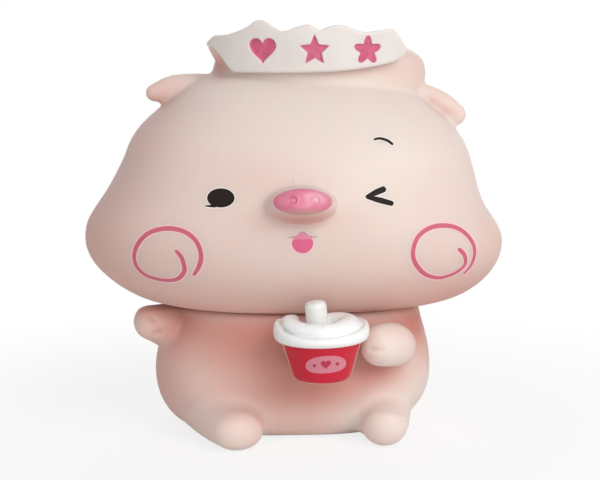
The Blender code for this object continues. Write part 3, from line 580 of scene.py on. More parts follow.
head = {
    # height, left half, right half, front, back in mm, from the neck's dish round the chin and up
    "rows": [
        (28.30, 12.2, 12.2, 12.2, 12.2), (27.69, 16.3, 16.8, 15.2, 15.0),
        (26.60, 20.8, 21.9, 17.1, 17.3), (26.20, 24.2, 26.0, 18.1, 18.7),
        (26.50, 28.1, 30.5, 19.2, 20.0), (27.59, 32.5, 34.7, 20.4, 21.2),
        (29.49, 36.2, 38.0, 21.9, 22.4), (31.68, 39.1, 40.4, 23.5, 23.3),
        (34.52, 41.8, 42.3, 25.3, 24.2), (37.50, 43.3, 43.1, 26.7, 24.9),
        (40.29, 43.6, 42.9, 27.7, 25.3), (43.18, 43.0, 41.4, 28.3, 25.5),
        (46.22, 41.2, 39.3, 28.5, 25.5), (49.41, 39.0, 38.0, 28.3, 25.4),
        (52.79, 37.1, 37.1, 27.7, 25.1), (56.18, 35.4, 36.1, 26.8, 24.5),
        (59.42, 34.1, 34.8, 25.5, 23.6), (62.31, 32.2, 32.8, 23.8, 22.3),
        (64.99, 29.5, 30.3, 21.8, 20.6), (67.48, 26.4, 27.2, 19.4, 18.5),
        (69.82, 23.2, 23.7, 16.7, 16.0), (71.82, 19.9, 20.0, 13.7, 13.2),
        (73.61, 15.8, 15.8, 10.6, 10.2), (75.00, 10.8, 10.8, 7.1, 6.9), (75.80, 5.4, 5.4, 3.5, 3.4),
    ],
    "top": 76.0,
    "neckHole": 8.5,
    "holeFoot": 26.5,   # where the cut for the neck's hole starts
    "wall": 2.0,
    "voxel": 0.47 * mm,
    "ease": 10,
    "around": 150,   # points in a ring and rings of the skin
    "along": 120,
    # ears: centre line and radii
    "earRight": [(-16.6, -0.8, 69.6), (-21.8, -1.0, 69.9), (-26.0, -1.3, 69.7), (-29.0, -1.7, 69.3)],
    "earRightRadii": [3.6, 3.4, 3.0, 1.9],
    "earLeft": [(22.0, -2.6, 68.5), (26.8, -3.3, 67.5), (30.2, -4.0, 66.1), (32.7, -4.7, 64.9)],
    "earLeftRadii": [3.5, 3.45, 3.15, 2.3],
    "earFlat": 0.62,
    # creases where the ears fold onto the head: points on a plane at y, depth and width
    "earCreases": [
        ([(26.4, 68.3), (27.5, 67.2), (29.3, 65.8), (31.6, 64.4)], -6, 0.45, 0.6),
        ([(-27.8, 66.5), (-26.1, 67.1), (-24.1, 68.3)], -4, 0.3, 0.6),
    ],
    # painted shade on the head's turned-away sides, under the chin and the snout's drum, round the hat and
    # under the sign, and in the ear creases
    "paintedShading": [
        ((-47, 0, 46), (18, 999, 42), 0.5), ((0, 0, 24), (999, 999, 9.5), 0.34),
        ((45, 0, 38), (9, 999, 14), 0.2), ((34, -8, 28), (12, 999, 6), 0.4),
        ((27.6, -5, 67.6), (2.2, 6, 1.3), 0.24),
        ((30.4, -6, 65.5), (2.2, 6, 1.2), 0.24), ((0, -32.6, 46.2), (13, 3.2, 2.3), 0.72),
        ((24, -8, 75), (9, 14, 5), 0.14), ((42, -8, 58), (14, 999, 22), 0.08),
        ((-16.0, -5, 74.6), (3.0, 6, 2.6), 0.65), ((-31, -8, 65), (11, 20, 13), 0.22),
        ((-7, -27, 54), (14, 25, 9), 0.13), ((-27, -1, 70), (7, 6, 4), 0.10),
        ((33, -4, 67), (6, 6, 4), 0.07), ((26, -2, 75), (6, 12, 5), 0.10),
        ((16, -8, 76), (9, 12, 3.0), 0.10),
        ((-26, -3, 67.4), (4, 6, 1.6), 0.25), ((4, -14, 74.0), (20, 3, 1.0), 0.22),
    ],
}
crown = {
    "centre": (4.98, 0.0, 76.0),
    "half": (22.0, 14.25),
    "rows": [
        (0.955, -8.0), (0.985, -5.5), (1.0, -3.0), (0.992, -1.2), (0.965, 0.2), (0.915, 1.3),
        (0.85, 2.2), (0.76, 2.9), (0.62, 3.35), (0.40, 3.6),
    ],
    # the corner that carries the sign's end
    "corner": [(-8.5, -1.5, 74.0), (-12.8, -3.3, 75.6), (-15.0, -4.2, 77.2), (-16.6, -4.9, 78.6)],
    "cornerRadii": [3.6, 3.0, 2.1, 1.3],
    "around": 96,   # points in a ring and rings
    "along": 36,
}
snout = {
    "tilt": 18,   # degrees that its face leans back
    "foot": (-0.2, -28.35, 48.72),
    # half width, half height, distance out
    "drum": [
        (6.9, 3.9, -3.7), (6.8, 3.85, -1.0), (6.7, 3.75, 0.8), (6.5, 3.5, 2.2), (6.1, 3.05, 3.5),
        (5.55, 2.5, 4.5), (5.0, 2.0, 5.1), (3.0, 1.3, 5.2),
    ],
    "cap": [
        (4.5, 1.8, 3.9), (5.25, 2.25, 4.25), (5.55, 2.46, 4.6), (5.55, 2.46, 5.1), (5.42, 2.38, 5.6),
        (5.15, 2.2, 5.98), (4.7, 1.95, 6.26), (4.0, 1.65, 6.45), (2.8, 1.15, 6.58), (1.4, 0.6, 6.63),
        (0.5, 0.2, 6.64),
    ],
    # crease under the drum: half sizes, distance out, depth and width
    "footCrease": (7.15, 4.25, 0.35, 0.4, 0.55),
    "bend": 0.04,   # how far the face curves back towards its sides, mm per square mm
    "nostrils": [(-2.0, 0.0), (2.3, 0.0)],
    "nostrilRadius": 0.86,
    "nostrilOval": 0.88,    # height over width
    "nostrilDepth": 0.36,
    # the rest of a nostril, in its radii: start and width of the wall; height in mm, place and width of the
    # lip and of the mound
    "wallStart": 1.06,
    "wallWidth": 0.34,
    "nostrilRings": [(0.09, 1.2, 0.15), (0.16, 0.0, 0.45)],
    "faceFrom": 4.7,   # distance out where the bend and the nostrils start
    "paintEdge": (-2.3, 0.9),   # height on the face where the pink starts, and over how much
    # painted highlight, a paler pink where the key lamp's reflection falls: middle across and up, reach
    # across and up in mm, share
    "paintedHighlight": (2.5, 0.45, 1.7, 1.0, 0.62),
    "voxel": 0.14 * mm,
    "ease": 3,
    # points in a ring and rings of the drum and the cap
    "drumAround": 96,
    "drumAlong": 30,
    "capAround": 120,
    "capAlong": 60,
}


def placeAt(spot, degrees, axis):
    # A place in mm and a turn about one axis
    return Matrix.Translation(Vector(spot) * mm) @ Matrix.Rotation(math.radians(degrees), 4, axis)


snoutPlace = placeAt(snout["foot"], 90 - snout["tilt"], "X")


def ovalOnSnout(halfX, halfY, out, turns):
    spots = [Vector((math.cos(turn) * halfX, math.sin(turn) * halfY, out)) for turn in turns]
    return [snoutPlace @ (spot * mm) for spot in spots]


def snoutRings(rows, count):
    return [ovalOnSnout(*row, turnsRound(count)) for row in rows]


hollow = {"around": 64}   # points in a ring of the inner walls


def roundRing(radius, height):
    return ovalRing((height, *[radius] * 4), hollow["around"], 2, 2)


def insetRows(rows, wall):
    # The same rows moved in by a wall's thickness
    out = []
    for index, row in enumerate(rows):
        before, after = rows[max(index - 1, 0)], rows[min(index + 1, len(rows) - 1)]
        run, rise = after[1] - before[1], after[0] - before[0]
        size = math.hypot(run, rise)
        inward, up = rise / size * wall, run / size * wall
        out.append((row[0] + up, *(value - inward for value in row[1:])))
    return out


def crownRing(share, height):
    halfX, halfY = (half * share for half in crown["half"])
    turns = turnsRound(crown["around"])
    spots = [Vector((halfX * math.cos(turn), -halfY * math.sin(turn), height)) for turn in turns]
    return [(Vector(crown["centre"]) + spot) * mm for spot in spots]


def buildHead():
    bm = bmesh.new()
    skin = bmesh.new()
    rows = smoothRows(head["rows"], head["along"])
    rings = [ovalRing(row, head["around"]) for row in rows]
    extrudeRings(skin, rings, lastPole=Vector((0, 0, head["top"] * mm)))
    copyInto(skin, bm)
    hat = bmesh.new()
    extrudeRings(hat, [crownRing(*row) for row in smoothRows(crown["rows"], crown["along"])])
    copyInto(hat, bm)
    addLimb(bm, crown["corner"], crown["cornerRadii"])
    addLimb(bm, head["earRight"], head["earRightRadii"], flat=head["earFlat"])
    addLimb(bm, head["earLeft"], head["earLeftRadii"], flat=head["earFlat"])
    drum = bmesh.new()
    extrudeRings(drum, snoutRings(smoothRows(snout["drum"], snout["drumAlong"]), snout["drumAround"]))
    copyInto(drum, bm)
    piece = addPiece("headSkin", bm, headVinyl)
    fuse(piece, head["voxel"], head["ease"])
    return piece


def hollowHead(piece):
    # Even wall inside, open at the neck
    cavity = bmesh.new()
    rows = insetRows(head["rows"], head["wall"])
    rings = [roundRing(head["neckHole"], height) for height in (head["holeFoot"], rows[0][0])]
    rings += [ovalRing(row, hollow["around"]) for row in rows[:-1]]
    extrudeRings(cavity, rings)
    combine(piece, cavity, "DIFFERENCE")


headSkin = buildHead()
print("head skin:", len(headSkin.data.polygons), "faces")


body = {
    # height, left half, right half, front, back in mm
    "rows": [
        (0.0, 19.5, 18.2, 13.0, 15.5), (0.49, 22.3, 20.6, 15.2, 17.8), (1.61, 24.8, 22.9, 17.1, 19.8),
        (3.60, 26.8, 24.9, 18.7, 21.4), (6.40, 28.3, 26.7, 19.8, 22.6), (9.61, 29.1, 27.8, 20.4, 23.2),
        (13.0, 29.3, 28.1, 20.5, 23.2), (16.4, 28.8, 27.9, 19.9, 22.6), (19.4, 27.6, 27.3, 18.8, 21.4),
        (21.8, 26.4, 26.6, 18.2, 20.2), (23.8, 25.3, 26.1, 17.8, 19.0), (25.3, 24.7, 25.7, 17.5, 18.4),
        (25.95, 23.2, 24.3, 16.7, 17.2),
    ],
    "top": 26.05,
    "wall": 2.0,
    "baseHole": 5.9,
    "neckBore": 5.8,
    "cutFrom": -1,   # heights where the cut of the base's hole starts and that of the neck's bore ends
    "cutTo": 34,
    "voxel": 0.42 * mm,
    "ease": 16,
    "around": 160,   # points in a ring and rings of the skin
    "along": 80,
    "footFlats": (1.32, 1.1),   # width over height of the feet, right and left
    # soft swells of the skin: degrees from the front, half angle, height, half height, mm out
    "swells": [(-47, 25, 9.6, 7.6, 2.3), (48, 24, 9.4, 7.4, 2.1), (0, 19, 9.0, 7.0, -0.9)],
    "armRaised": [(-17.0, -1.2, 18.4), (-23.2, -3.6, 20.4), (-27.2, -5.7, 21.9), (-29.7, -7.0, 22.7)],
    "armRaisedRadii": [4.6, 4.8, 4.7, 3.95],
    # beyond this x and above this height the raised paw is pressed down to a share, clear of the cheek
    "pawCeiling": (-20, 25.3, 0.6),
    "armHold": [
        (12.9, -6.1, 18.6), (18.0, -8.6, 18.4), (19.1, -17.7, 19.4), (17.8, -21.6, 20.5),
        (15.5, -24.3, 20.9),
    ],
    "armHoldRadii": [4.0, 4.0, 4.2, 4.4, 4.15],
    "footRight": [(-18.8, -8.0, 6.0), (-15.6, -16.0, 4.8), (-12.4, -23.4, 4.15)],
    "footRightRadii": [5.3, 4.8, 4.15],
    # where the skin is eased more: place, reach in mm, rounds
    "eased": [
        ((-10.5, -18.5, 5.0), 6.5, 40), ((13.0, -17.5, 6.5), 5.5, 40), ((17.5, -18.5, 8.7), 6.2, 50),
        ((-14.5, -17.5, 9.0), 7.5, 55),
    ],
    # soft folds between the feet and the belly: centre line and radii
    "footFolds": [
        ([(-11.0, -12.0, 6.0), (-10.6, -16.5, 4.8), (-10.2, -19.6, 4.0)], [6.0, 4.9, 3.6]),
        ([(14.5, -11.0, 6.0), (14.6, -15.5, 5.0), (14.9, -18.6, 4.4)], [5.6, 4.6, 3.7]),
    ],
    "footLeft": [(18.2, -8.0, 5.8), (17.4, -15.2, 4.9), (16.7, -21.6, 4.3)],
    "footLeftRadii": [5.0, 4.85, 4.3],
    # creases of the trotters: points on a plane, depth and width
    "creases": [
        ([(-30.9, 24.7), (-29.8, 23.9), (-28.8, 23.3)], -11, 0.75, 0.55),
        ([(-29.6, 20.5), (-28.6, 21.0), (-27.6, 21.5)], -11, 0.6, 0.5),
        ([(10.9, 20.9), (13.4, 20.7), (16.3, 20.5)], -27, 0.6, 0.5),
    ],
    # painted shade at the neck under the head, in the cup's shadow, round the paws and on the turned-away
    # side; strengths below 0 are painted light on the paws and on a foot
    "paintedShading": [
        ((0, 0, 22.3), (24, 45, 3.9), 0.88), ((-33, -2, 10), (10, 999, 14), 0.62),
        ((-2, -21, 16.5), (13, 12, 6), 0.75), ((3, -21, 11.0), (12, 12, 5), 0.7),
        ((-14, -18, 18), (8, 14, 6), 0.42), ((-23, -6, 17.5), (5, 7, 3.2), 0.5),
        ((1, -20, 2), (8, 12, 4), 0.3), ((-12, -19, 11), (8, 9, 3), 0.15),
        ((14, -19, 14.5), (9, 7, 3.4), 0.75), ((-23, -10, 23.0), (6, 8, 4), 0.6),
        ((25, -11, 22), (7.5, 9, 5), 0.97), ((28, -5, 16), (4, 8, 4), 0.4),
        ((-10, -19, 21.5), (15, 8, 4), 0.35), ((-31, -10, 25.5), (5, 6, 2), 0.6),
        ((-26, -12, 12), (7, 12, 8), 0.12), ((-3, -20, 9), (9, 8, 5), 0.2),
        ((16.5, -27, 21.0), (8, 6, 6), -1.3), ((-31, -9, 21.5), (4, 6, 5), -0.5),
        ((16, -24, 4.5), (6, 8, 4), -0.9),
    ],
    # neck: radius and height, from the collar through the head's plate to the snap flange
    "neck": [
        (11.2, 22.0), (11.2, 27.7), (10.9, 28.0), (8.45, 28.0), (8.2, 28.2), (8.2, 30.6), (9.9, 30.6),
        (10.2, 30.9), (10.2, 31.4), (9.2, 32.2),
    ],
}


def swellRing(ring):
    # Moves the points of a ring out or in where the haunches and the belly are
    out = []
    for spot in ring:
        angle = math.degrees(math.atan2(spot.x, -spot.y))
        reach = 0.0
        for middle, wide, height, tall, rise in body["swells"]:
            across, up = (angle - middle) / wide, (spot.z / mm - height) / tall
            reach += rise * math.exp(-across * across - up * up)
        away = Vector((spot.x, spot.y, 0)).normalized()
        out.append(spot + away * reach * mm)
    return out


def turnedRing(radius, height, count=72):
    turns = turnsRound(count)
    return [Vector((math.cos(turn) * radius, math.sin(turn) * radius, height)) * mm for turn in turns]


def buildBody():
    bm = bmesh.new()
    skin = bmesh.new()
    rows = smoothRows(body["rows"], body["along"])
    rings = [swellRing(ovalRing(row, body["around"])) for row in rows]
    extrudeRings(skin, rings, lastPole=Vector((0, 0, body["top"] * mm)))
    copyInto(skin, bm)
    addLimb(bm, body["armRaised"], body["armRaisedRadii"])
    addLimb(bm, body["armHold"], body["armHoldRadii"])
    rightFlat, leftFlat = body["footFlats"]
    addLimb(bm, body["footRight"], body["footRightRadii"], flat=rightFlat)
    addLimb(bm, body["footLeft"], body["footLeftRadii"], flat=leftFlat)
    for path, radii in body["footFolds"]:
        addLimb(bm, path, radii)
    piece = addPiece("bodySkin", bm, bodyVinyl)
    fuse(piece, body["voxel"], body["ease"])
    for place, reach, rounds in body["eased"]:
        easeNear(piece, Vector(place) * mm, reach * mm, rounds)
    beyond, ceiling, keep = body["pawCeiling"]
    for vertex in piece.data.vertices:
        if vertex.co.x < beyond * mm and vertex.co.z > ceiling * mm:
            vertex.co.z = (ceiling + (vertex.co.z / mm - ceiling) * keep) * mm
        vertex.co.z = max(vertex.co.z, 0)
    return piece


def hollowBody(piece):
    neck = bmesh.new()
    extrudeRings(neck, [turnedRing(*row) for row in body["neck"]])
    combine(piece, neck, "UNION")
    cavity = bmesh.new()
    rows = insetRows(body["rows"], body["wall"])
    ceiling = body["top"] - body["wall"]
    rows = [row for row in rows if row[0] < ceiling]
    rings = [roundRing(body["baseHole"], height) for height in (body["cutFrom"], rows[0][0])]
    rings += [swellRing(ovalRing(row, hollow["around"])) for row in rows]
    rings += [roundRing(body["neckBore"], height) for height in (ceiling, body["cutTo"])]
    extrudeRings(cavity, rings)
    combine(piece, cavity, "DIFFERENCE")


bodySkin = buildBody()
print("body skin:", len(bodySkin.data.polygons), "faces")


def finishPiece(piece, bodyName, nodes):
    # The mesh moves onto the neck's axis, and its object stays at the origin
    piece.data.transform(onNeck)
    piece.data.update()
    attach(piece, bodyName)
    if nodes:
        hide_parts(*nodes)


# The face is printed on the skin before its creases are pressed in
headTree = skinTree(headSkin)


def onSkin(tree, x, z, plane):
    # Where the line of sight through a point of a plane (all in mm) meets the skin
    way = (Vector((x, plane, z)) * mm - eyePoint).normalized()
    spot, normal, _, _ = tree.ray_cast(eyePoint, way)
    return spot, normal


def skinPath(tree, points, plane):
    # Points of a plane moved onto the skin, those past its outline onto its nearest place
    spots = [onSkin(tree, x, z, plane)[0] for x, z in points]
    return [spot or tree.find_nearest(Vector((x, plane, z)) * mm)[0] for spot, (x, z) in zip(spots, points)]


def resample(points, gap, closed=False):
    # Even steps along a smooth curve through the points
    rows = [tuple(point) for point in points]
    if closed:
        rows = rows[-1:] + rows + rows[:2]
    fine = smoothRows(rows, 24 * len(rows))
    if closed:
        lead = 24 * len(rows) / (len(rows) - 1)
        fine = fine[round(lead):round(lead * (len(rows) - 2))]
    fine = [Vector(row) for row in fine]
    total = sum((b - a).length for a, b in zip(fine, fine[1:]))
    count = max(3, round(total / gap))
    out, walked, index = [], 0.0, 0
    for step in range(count + 1):
        goal = total * step / count
        while index < len(fine) - 2 and walked + (fine[index + 1] - fine[index]).length < goal:
            walked += (fine[index + 1] - fine[index]).length
            index += 1
        span = (fine[index + 1] - fine[index]).length
        out.append(fine[index].lerp(fine[index + 1], min(1.0, (goal - walked) / span) if span else 0))
    return out


prints = {
    # mm between points along a stroke and round a patch
    "strokeGap": 0.16,
    "patchGap": 0.22,
    "strokeRows": 6,   # rows of faces across a stroke
    "patchRings": (1.0, 0.9, 0.78, 0.62, 0.44, 0.24),
}


def ribbonWidth(at, total, wide):
    # Full width along a stroke with round ends
    edge = min(at, total - at)
    if edge >= wide / 2:
        return wide
    short = 1 - edge / (wide / 2)
    return wide * math.sqrt(max(0.0, 1 - short * short))


def addStroke(bm, tree, points, plane, width, lift, widen=0.0):
    # A painted stroke laid on the skin; width is one value or one at each point
    widths = width if isinstance(width, (list, tuple)) else [width] * len(points)
    rows = resample([(x, z, w) for (x, z), w in zip(points, widths)], prints["strokeGap"])
    spots = [onSkin(tree, row[0], row[1], plane) for row in rows]
    count = len(rows)
    ends = []
    for near, far in ((0, 1), (-1, -2)):
        ends.append((spots[near][0] - spots[far][0]).normalized() * widen * mm)
    grid = bmesh.new()
    across = prints["strokeRows"]
    bmesh.ops.create_grid(grid, x_segments=count - 1, y_segments=across, size=1)
    total = sum((b[0] - a[0]).length for a, b in zip(spots, spots[1:])) / mm + 2 * widen
    walked = [0.0]
    for a, b in zip(spots, spots[1:]):
        walked.append(walked[-1] + (b[0] - a[0]).length / mm)
    for vert in grid.verts:
        index = round((vert.co.x + 1) / 2 * (count - 1))
        share = round((vert.co.y + 1) / 2 * across) / across - 0.5
        spot, normal = spots[index]
        way = spots[min(index + 1, count - 1)][0] - spots[max(index - 1, 0)][0]
        side = way.cross(normal).normalized()
        lead = widen if 0 < index < count - 1 else 2 * widen if index else 0
        wide = ribbonWidth(walked[index] + lead, total, rows[index][2] + 2 * widen)
        place = spot + side * share * wide * mm
        if index in (0, count - 1):
            place += ends[0 if index == 0 else 1]
        near, flat, _, _ = tree.find_nearest(place)
        vert.co = near + flat * lift * mm
    bmesh.ops.remove_doubles(grid, verts=grid.verts[:], dist=1e-7)
    faceEye(grid)
    copyInto(grid, bm)


def faceEye(grid):
    # Turns the faces of a print outwards
    bmesh.ops.recalc_face_normals(grid, faces=grid.faces[:])
    grid.normal_update()
    toEye = [(eyePoint - face.calc_center_median()).normalized() for face in grid.faces]
    if sum(way.dot(face.normal) for way, face in zip(toEye, grid.faces)) < 0:
        bmesh.ops.reverse_faces(grid, faces=grid.faces[:])


def addPatch(bm, tree, outline, plane, lift, widen=0.0):
    # A painted patch inside a closed outline, laid on the skin
    edge = resample(outline, prints["patchGap"], closed=True)[:-1]
    middle = sum(edge, Vector((0, 0))) / len(edge)
    if widen:
        edge = [point + (point - middle).normalized() * widen for point in edge]
    grid = bmesh.new()
    rings = []
    for share in prints["patchRings"]:
        ring = []
        for point in edge:
            spot, normal = onSkin(tree, *(middle + (point - middle) * share), plane)
            ring.append(spot + normal * lift * mm)
        rings.append(ring)
    spot, normal = onSkin(tree, *middle, plane)
    extrudeRings(grid, rings, lastPole=spot + normal * lift * mm, openStart=True)
    faceEye(grid)
    copyInto(grid, bm)


def ovalOutline(x, z, halfX, halfZ, lean=0.0, power=2.0, count=24):
    out = []
    away, rise = math.cos(lean), math.sin(lean)
    for turn in turnsRound(count):
        across, up = math.cos(turn), math.sin(turn)
        px = math.copysign(abs(across) ** (2 / power), across) * halfX
        pz = math.copysign(abs(up) ** (2 / power), up) * halfZ
        out.append((x + px * away - pz * rise, z + px * rise + pz * away))
    return out


face = {
    # points are (x, z) in mm on a plane in front of the face
    "eye": {"centre": (-15.43, 50.36), "half": (2.6, 1.83), "plane": -27},
    "lash": {
        "points": [(-16.3, 48.9), (-17.3, 48.82), (-18.5, 48.86)],
        "width": [0.8, 0.46, 0.2],
        "plane": -27,
    },
    "wink": {
        "points": [
            [(16.0, 52.05), (14.1, 51.25), (12.05, 50.3)], [(12.1, 50.42), (14.8, 49.75), (17.5, 49.0)],
        ],
        "width": [[1.2, 1.15, 0.6], [0.6, 1.12, 0.95]],
        "plane": -27,
    },
    "brow": {
        "points": [(13.62, 61.2), (14.5, 61.44), (15.3, 61.38), (16.35, 61.0), (17.42, 60.22)],
        "width": [0.42, 0.5, 0.6, 0.64, 0.58],
        "plane": -26,
    },
    "lipLines": [[(-2.75, 42.88), (-2.1, 42.95), (-1.3, 43.1)], [(1.3, 43.1), (2.1, 43.0), (2.9, 42.97)]],
    "lipArch": [(-0.75, 43.35), (-0.42, 43.75), (0.02, 43.93), (0.45, 43.75), (0.8, 43.35)],
    "lip": [
        (-1.9, 42.55), (-1.35, 43.1), (-0.7, 43.5), (0.0, 43.72), (0.7, 43.52), (1.4, 43.12),
        (1.95, 42.6), (1.2, 42.5), (0.0, 42.48), (-1.2, 42.5),
    ],
    "tongue": [
        (-1.8, 42.42), (-1.0, 42.6), (0.0, 42.64), (1.0, 42.6), (1.84, 42.42), (2.05, 41.7),
        (1.75, 40.85), (1.0, 40.1), (0.02, 39.86), (-1.0, 40.12), (-1.75, 40.85), (-2.02, 41.7),
    ],
    "mouthPlane": -28.3,
    "swirlRight": [
        (-24.4, 39.72), (-23.26, 38.44), (-22.7, 36.76), (-22.71, 35.39), (-24.08, 34.02),
        (-26.7, 33.85), (-29.9, 34.75), (-31.7, 36.4), (-32.3, 38.5), (-31.52, 40.95), (-29.37, 43.08),
        (-25.99, 43.95), (-22.62, 43.32), (-20.33, 41.45), (-19.38, 38.82), (-19.75, 36.6),
        (-20.9, 34.65),
    ],
    "swirlLeft": [
        (30.78, 39.63), (31.82, 38.69), (32.31, 37.5), (32.15, 36.31), (30.85, 35.09), (29.12, 34.25),
        (26.95, 33.83), (24.38, 34.59), (22.48, 36.69), (21.96, 39.1), (22.91, 41.92), (25.25, 43.71),
        (28.29, 44.13), (31.15, 43.34), (33.35, 41.25), (34.1, 39.01), (33.53, 36.49), (31.88, 34.46),
    ],
    "swirlWidth": 0.9,
    "swirlEnds": (0.75, 0.7),   # width at the inner and the outer end, as a share
    "lipLineWidth": 0.16,
    "swirlPlane": -22,
    "lift": 0.055,    # of the paint off the skin
    "step": 0.012,    # of one stroke over another
    # width of the pale edge round the black prints, the swirls and the tongue
    "halo": 0.2,
    "swirlHalo": 0.3,
    "tongueHalo": 0.27,
}


def addPrint(name, make, material, haloName=None, edge=paleEdge, widen=face["halo"]):
    # The paint, over a slightly larger pale edge at half its height
    bm = bmesh.new()
    make(bm, face["lift"], 0.0)
    finishPiece(addPiece(name, bm, material), "head", ())
    if haloName:
        bm = bmesh.new()
        make(bm, face["lift"] * 0.5, widen)
        finishPiece(addPiece(haloName, bm, edge), "head", ())


def makeEye(bm, lift, widen):
    eye = face["eye"]
    addPatch(bm, headTree, ovalOutline(*eye["centre"], *eye["half"]), eye["plane"], lift, widen)
    lash = face["lash"]
    addStroke(bm, headTree, lash["points"], lash["plane"], lash["width"], lift, widen)


def makeWink(bm, lift, widen):
    for points, width in zip(face["wink"]["points"], face["wink"]["width"]):
        addStroke(bm, headTree, points, face["wink"]["plane"], width, lift, widen)
        lift += face["step"]


def makeBrow(bm, lift, widen):
    brow = face["brow"]
    addStroke(bm, headTree, brow["points"], brow["plane"], brow["width"], lift, widen)


def makeSwirls(bm, lift, widen):
    for name in ("swirlRight", "swirlLeft"):
        points = face[name]
        wide = [face["swirlWidth"]] * len(points)
        wide[0] *= face["swirlEnds"][0]
        wide[-1] *= face["swirlEnds"][1]
        addStroke(bm, headTree, points, face["swirlPlane"], wide, lift, widen)


def makeTongue(bm, lift, widen):
    addPatch(bm, headTree, face["tongue"], face["mouthPlane"], lift, widen)


def makeLip(bm, lift, widen):
    addPatch(bm, headTree, face["lip"], face["mouthPlane"], lift, widen)


def makeLipLines(bm, lift, widen):
    for points in face["lipLines"] + [face["lipArch"]]:
        addStroke(bm, headTree, points, face["mouthPlane"], face["lipLineWidth"], lift + 0.02, widen)


addPrint("eyePrint", makeEye, eyeBlack, "eyeEdge")
addPrint("winkPrint", makeWink, eyeBlack, "winkEdge")
addPrint("browPrint", makeBrow, eyeBlack, "browEdge")
addPrint("swirlPrints", makeSwirls, swirlPink, "swirlEdge", pinkEdge, face["swirlHalo"])
addPrint("tonguePrint", makeTongue, mouthPink, "tongueEdge", pinkEdge, face["tongueHalo"])
addPrint("lipPrint", makeLip, lipPink)
addPrint("lipLinePrint", makeLipLines, lipLinePink)
print("face printed")

for points, plane, depth, width in head["earCreases"]:
    pressGroove(headSkin, skinPath(headTree, points, plane), depth, width)
halfX, halfY, out, depth, width = snout["footCrease"]
around = ovalOnSnout(halfX, halfY, out, turnsBetween(185, 355))
pressGroove(headSkin, [headTree.find_nearest(spot)[0] for spot in around], depth, width)
hollowHead(headSkin)
# The painted shade on the head is stored at each point of its skin
paintShadeNear(headSkin, head["paintedShading"])
finishPiece(headSkin, "head", ("head_shell", "ear_right", "ear_left", "hat_crown"))


def nostrilRise(x, y):
    # A dent with a steep wall, a low lip round it and a small mound in its middle
    out = 0.0
    for middleX, middleY in snout["nostrils"]:
        gap = math.hypot(x - middleX, (y - middleY) / snout["nostrilOval"]) / snout["nostrilRadius"]
        wall = clamp((snout["wallStart"] - gap) / snout["wallWidth"])
        out -= snout["nostrilDepth"] * softStep(wall)
        for height, at, width in snout["nostrilRings"]:
            out += height * math.exp(-((gap - at) / width) ** 2)
    return out


def buildSnout():
    bm = bmesh.new()
    extrudeRings(bm, snoutRings(smoothRows(snout["cap"], snout["capAlong"]), snout["capAround"]))
    piece = addPiece("snoutCap", bm, snoutPink)
    fuse(piece, snout["voxel"], snout["ease"])
    back = snoutPlace.inverted()
    for vertex in piece.data.vertices:
        local = back @ vertex.co / mm
        if local.z >= snout["faceFrom"]:
            local.z -= snout["bend"] * local.x ** 2 * min(1.0, local.z - snout["faceFrom"])
            local.z += nostrilRise(local.x, local.y)
            vertex.co = snoutPlace @ (local * mm)
    edge, soft = snout["paintEdge"]
    spots = [back @ vertex.co / mm for vertex in piece.data.vertices]
    storeShares(piece, "paint", [clamp((spot.y - edge) / soft) for spot in spots])
    # Painted highlight: a paler pink share round the right nostril
    x, y, wide, tall, most = snout["paintedHighlight"]
    reach = [((spot.x - x) / wide) ** 2 + ((spot.y - y) / tall) ** 2 for spot in spots]
    storeShares(piece, "highlightShare", [most * math.exp(-far) for far in reach])
    finishPiece(piece, "head", ("snout",))


buildSnout()
print("snout made")


sign = {
    "arc": (-72, 43),   # degrees round the hat from its front
    "start": 0.022,
    "half": (22.3, 14.55),
    "thickness": 2.2,
    "lean": 0.8,
    "foot": 73.61,
    "height": 10.4,
    "round": 0.55,
    "top": [
        (0.00, 0.53), (0.05, 0.62), (0.10, 0.71), (0.19, 0.72), (0.25, 0.78), (0.31, 0.88),
        (0.34, 0.98), (0.37, 1.00), (0.39, 0.97), (0.42, 0.86), (0.45, 0.78), (0.48, 0.80),
        (0.52, 0.87), (0.56, 0.92), (0.58, 0.87), (0.61, 0.79), (0.64, 0.87), (0.67, 0.90),
        (0.72, 0.87), (0.76, 0.78), (0.80, 0.77), (0.85, 0.80), (0.91, 0.84), (0.94, 0.73),
        (0.97, 0.57), (1.00, 0.45),
    ],
    "bottom": [
        (0.00, 0.51), (0.05, 0.48), (0.10, 0.43), (0.14, 0.31), (0.17, 0.17), (0.20, 0.04),
        (0.22, 0.00), (0.50, 0.00), (0.66, 0.02), (0.75, 0.06), (0.84, 0.12), (0.91, 0.18),
        (0.96, 0.25), (1.00, 0.40),
    ],
    "marks": [0.37, 0.585, 0.80],   # heart, star and flower, as shares of the arc
    "markRise": 0.42,
    "markSize": 5.6,
    "markDepth": 0.5,
    "markSoft": 0.26,     # width of a mark's wall
    "markReach": 4.2,     # marks change nothing past this
    "easeSteps": (-0.012, -0.006, 0.0, 0.006, 0.012),   # shares over which the edge's corners are eased
    "columns": 360,
    "frontRows": 66,
    "roundRows": 8,
    "backRows": 10,
    "endColumn": 0.145,   # mm along the sign for each column of its two rounded ends
    "endRound": 0.9,
}


def tableAt(table, share):
    for (a, p), (b, q) in zip(table, table[1:]):
        if share <= b:
            return p + (q - p) * (share - a) / (b - a)
    return table[-1][1]


def easedTable(table, share):
    # The table with its corners eased
    spread = sign["easeSteps"]
    return sum(tableAt(table, clamp(share + step)) for step in spread) / len(spread)


def signPoint(share, out, rise):
    low, high = sign["arc"]
    turn = math.radians(low + (high - low) * share)
    lean = sign["lean"] * rise
    x = math.sin(turn) * (sign["half"][0] + out + lean) + crown["centre"][0]
    y = -math.cos(turn) * (sign["half"][1] + out + lean)
    return Vector((x, y, sign["foot"] + sign["height"] * rise)) * mm


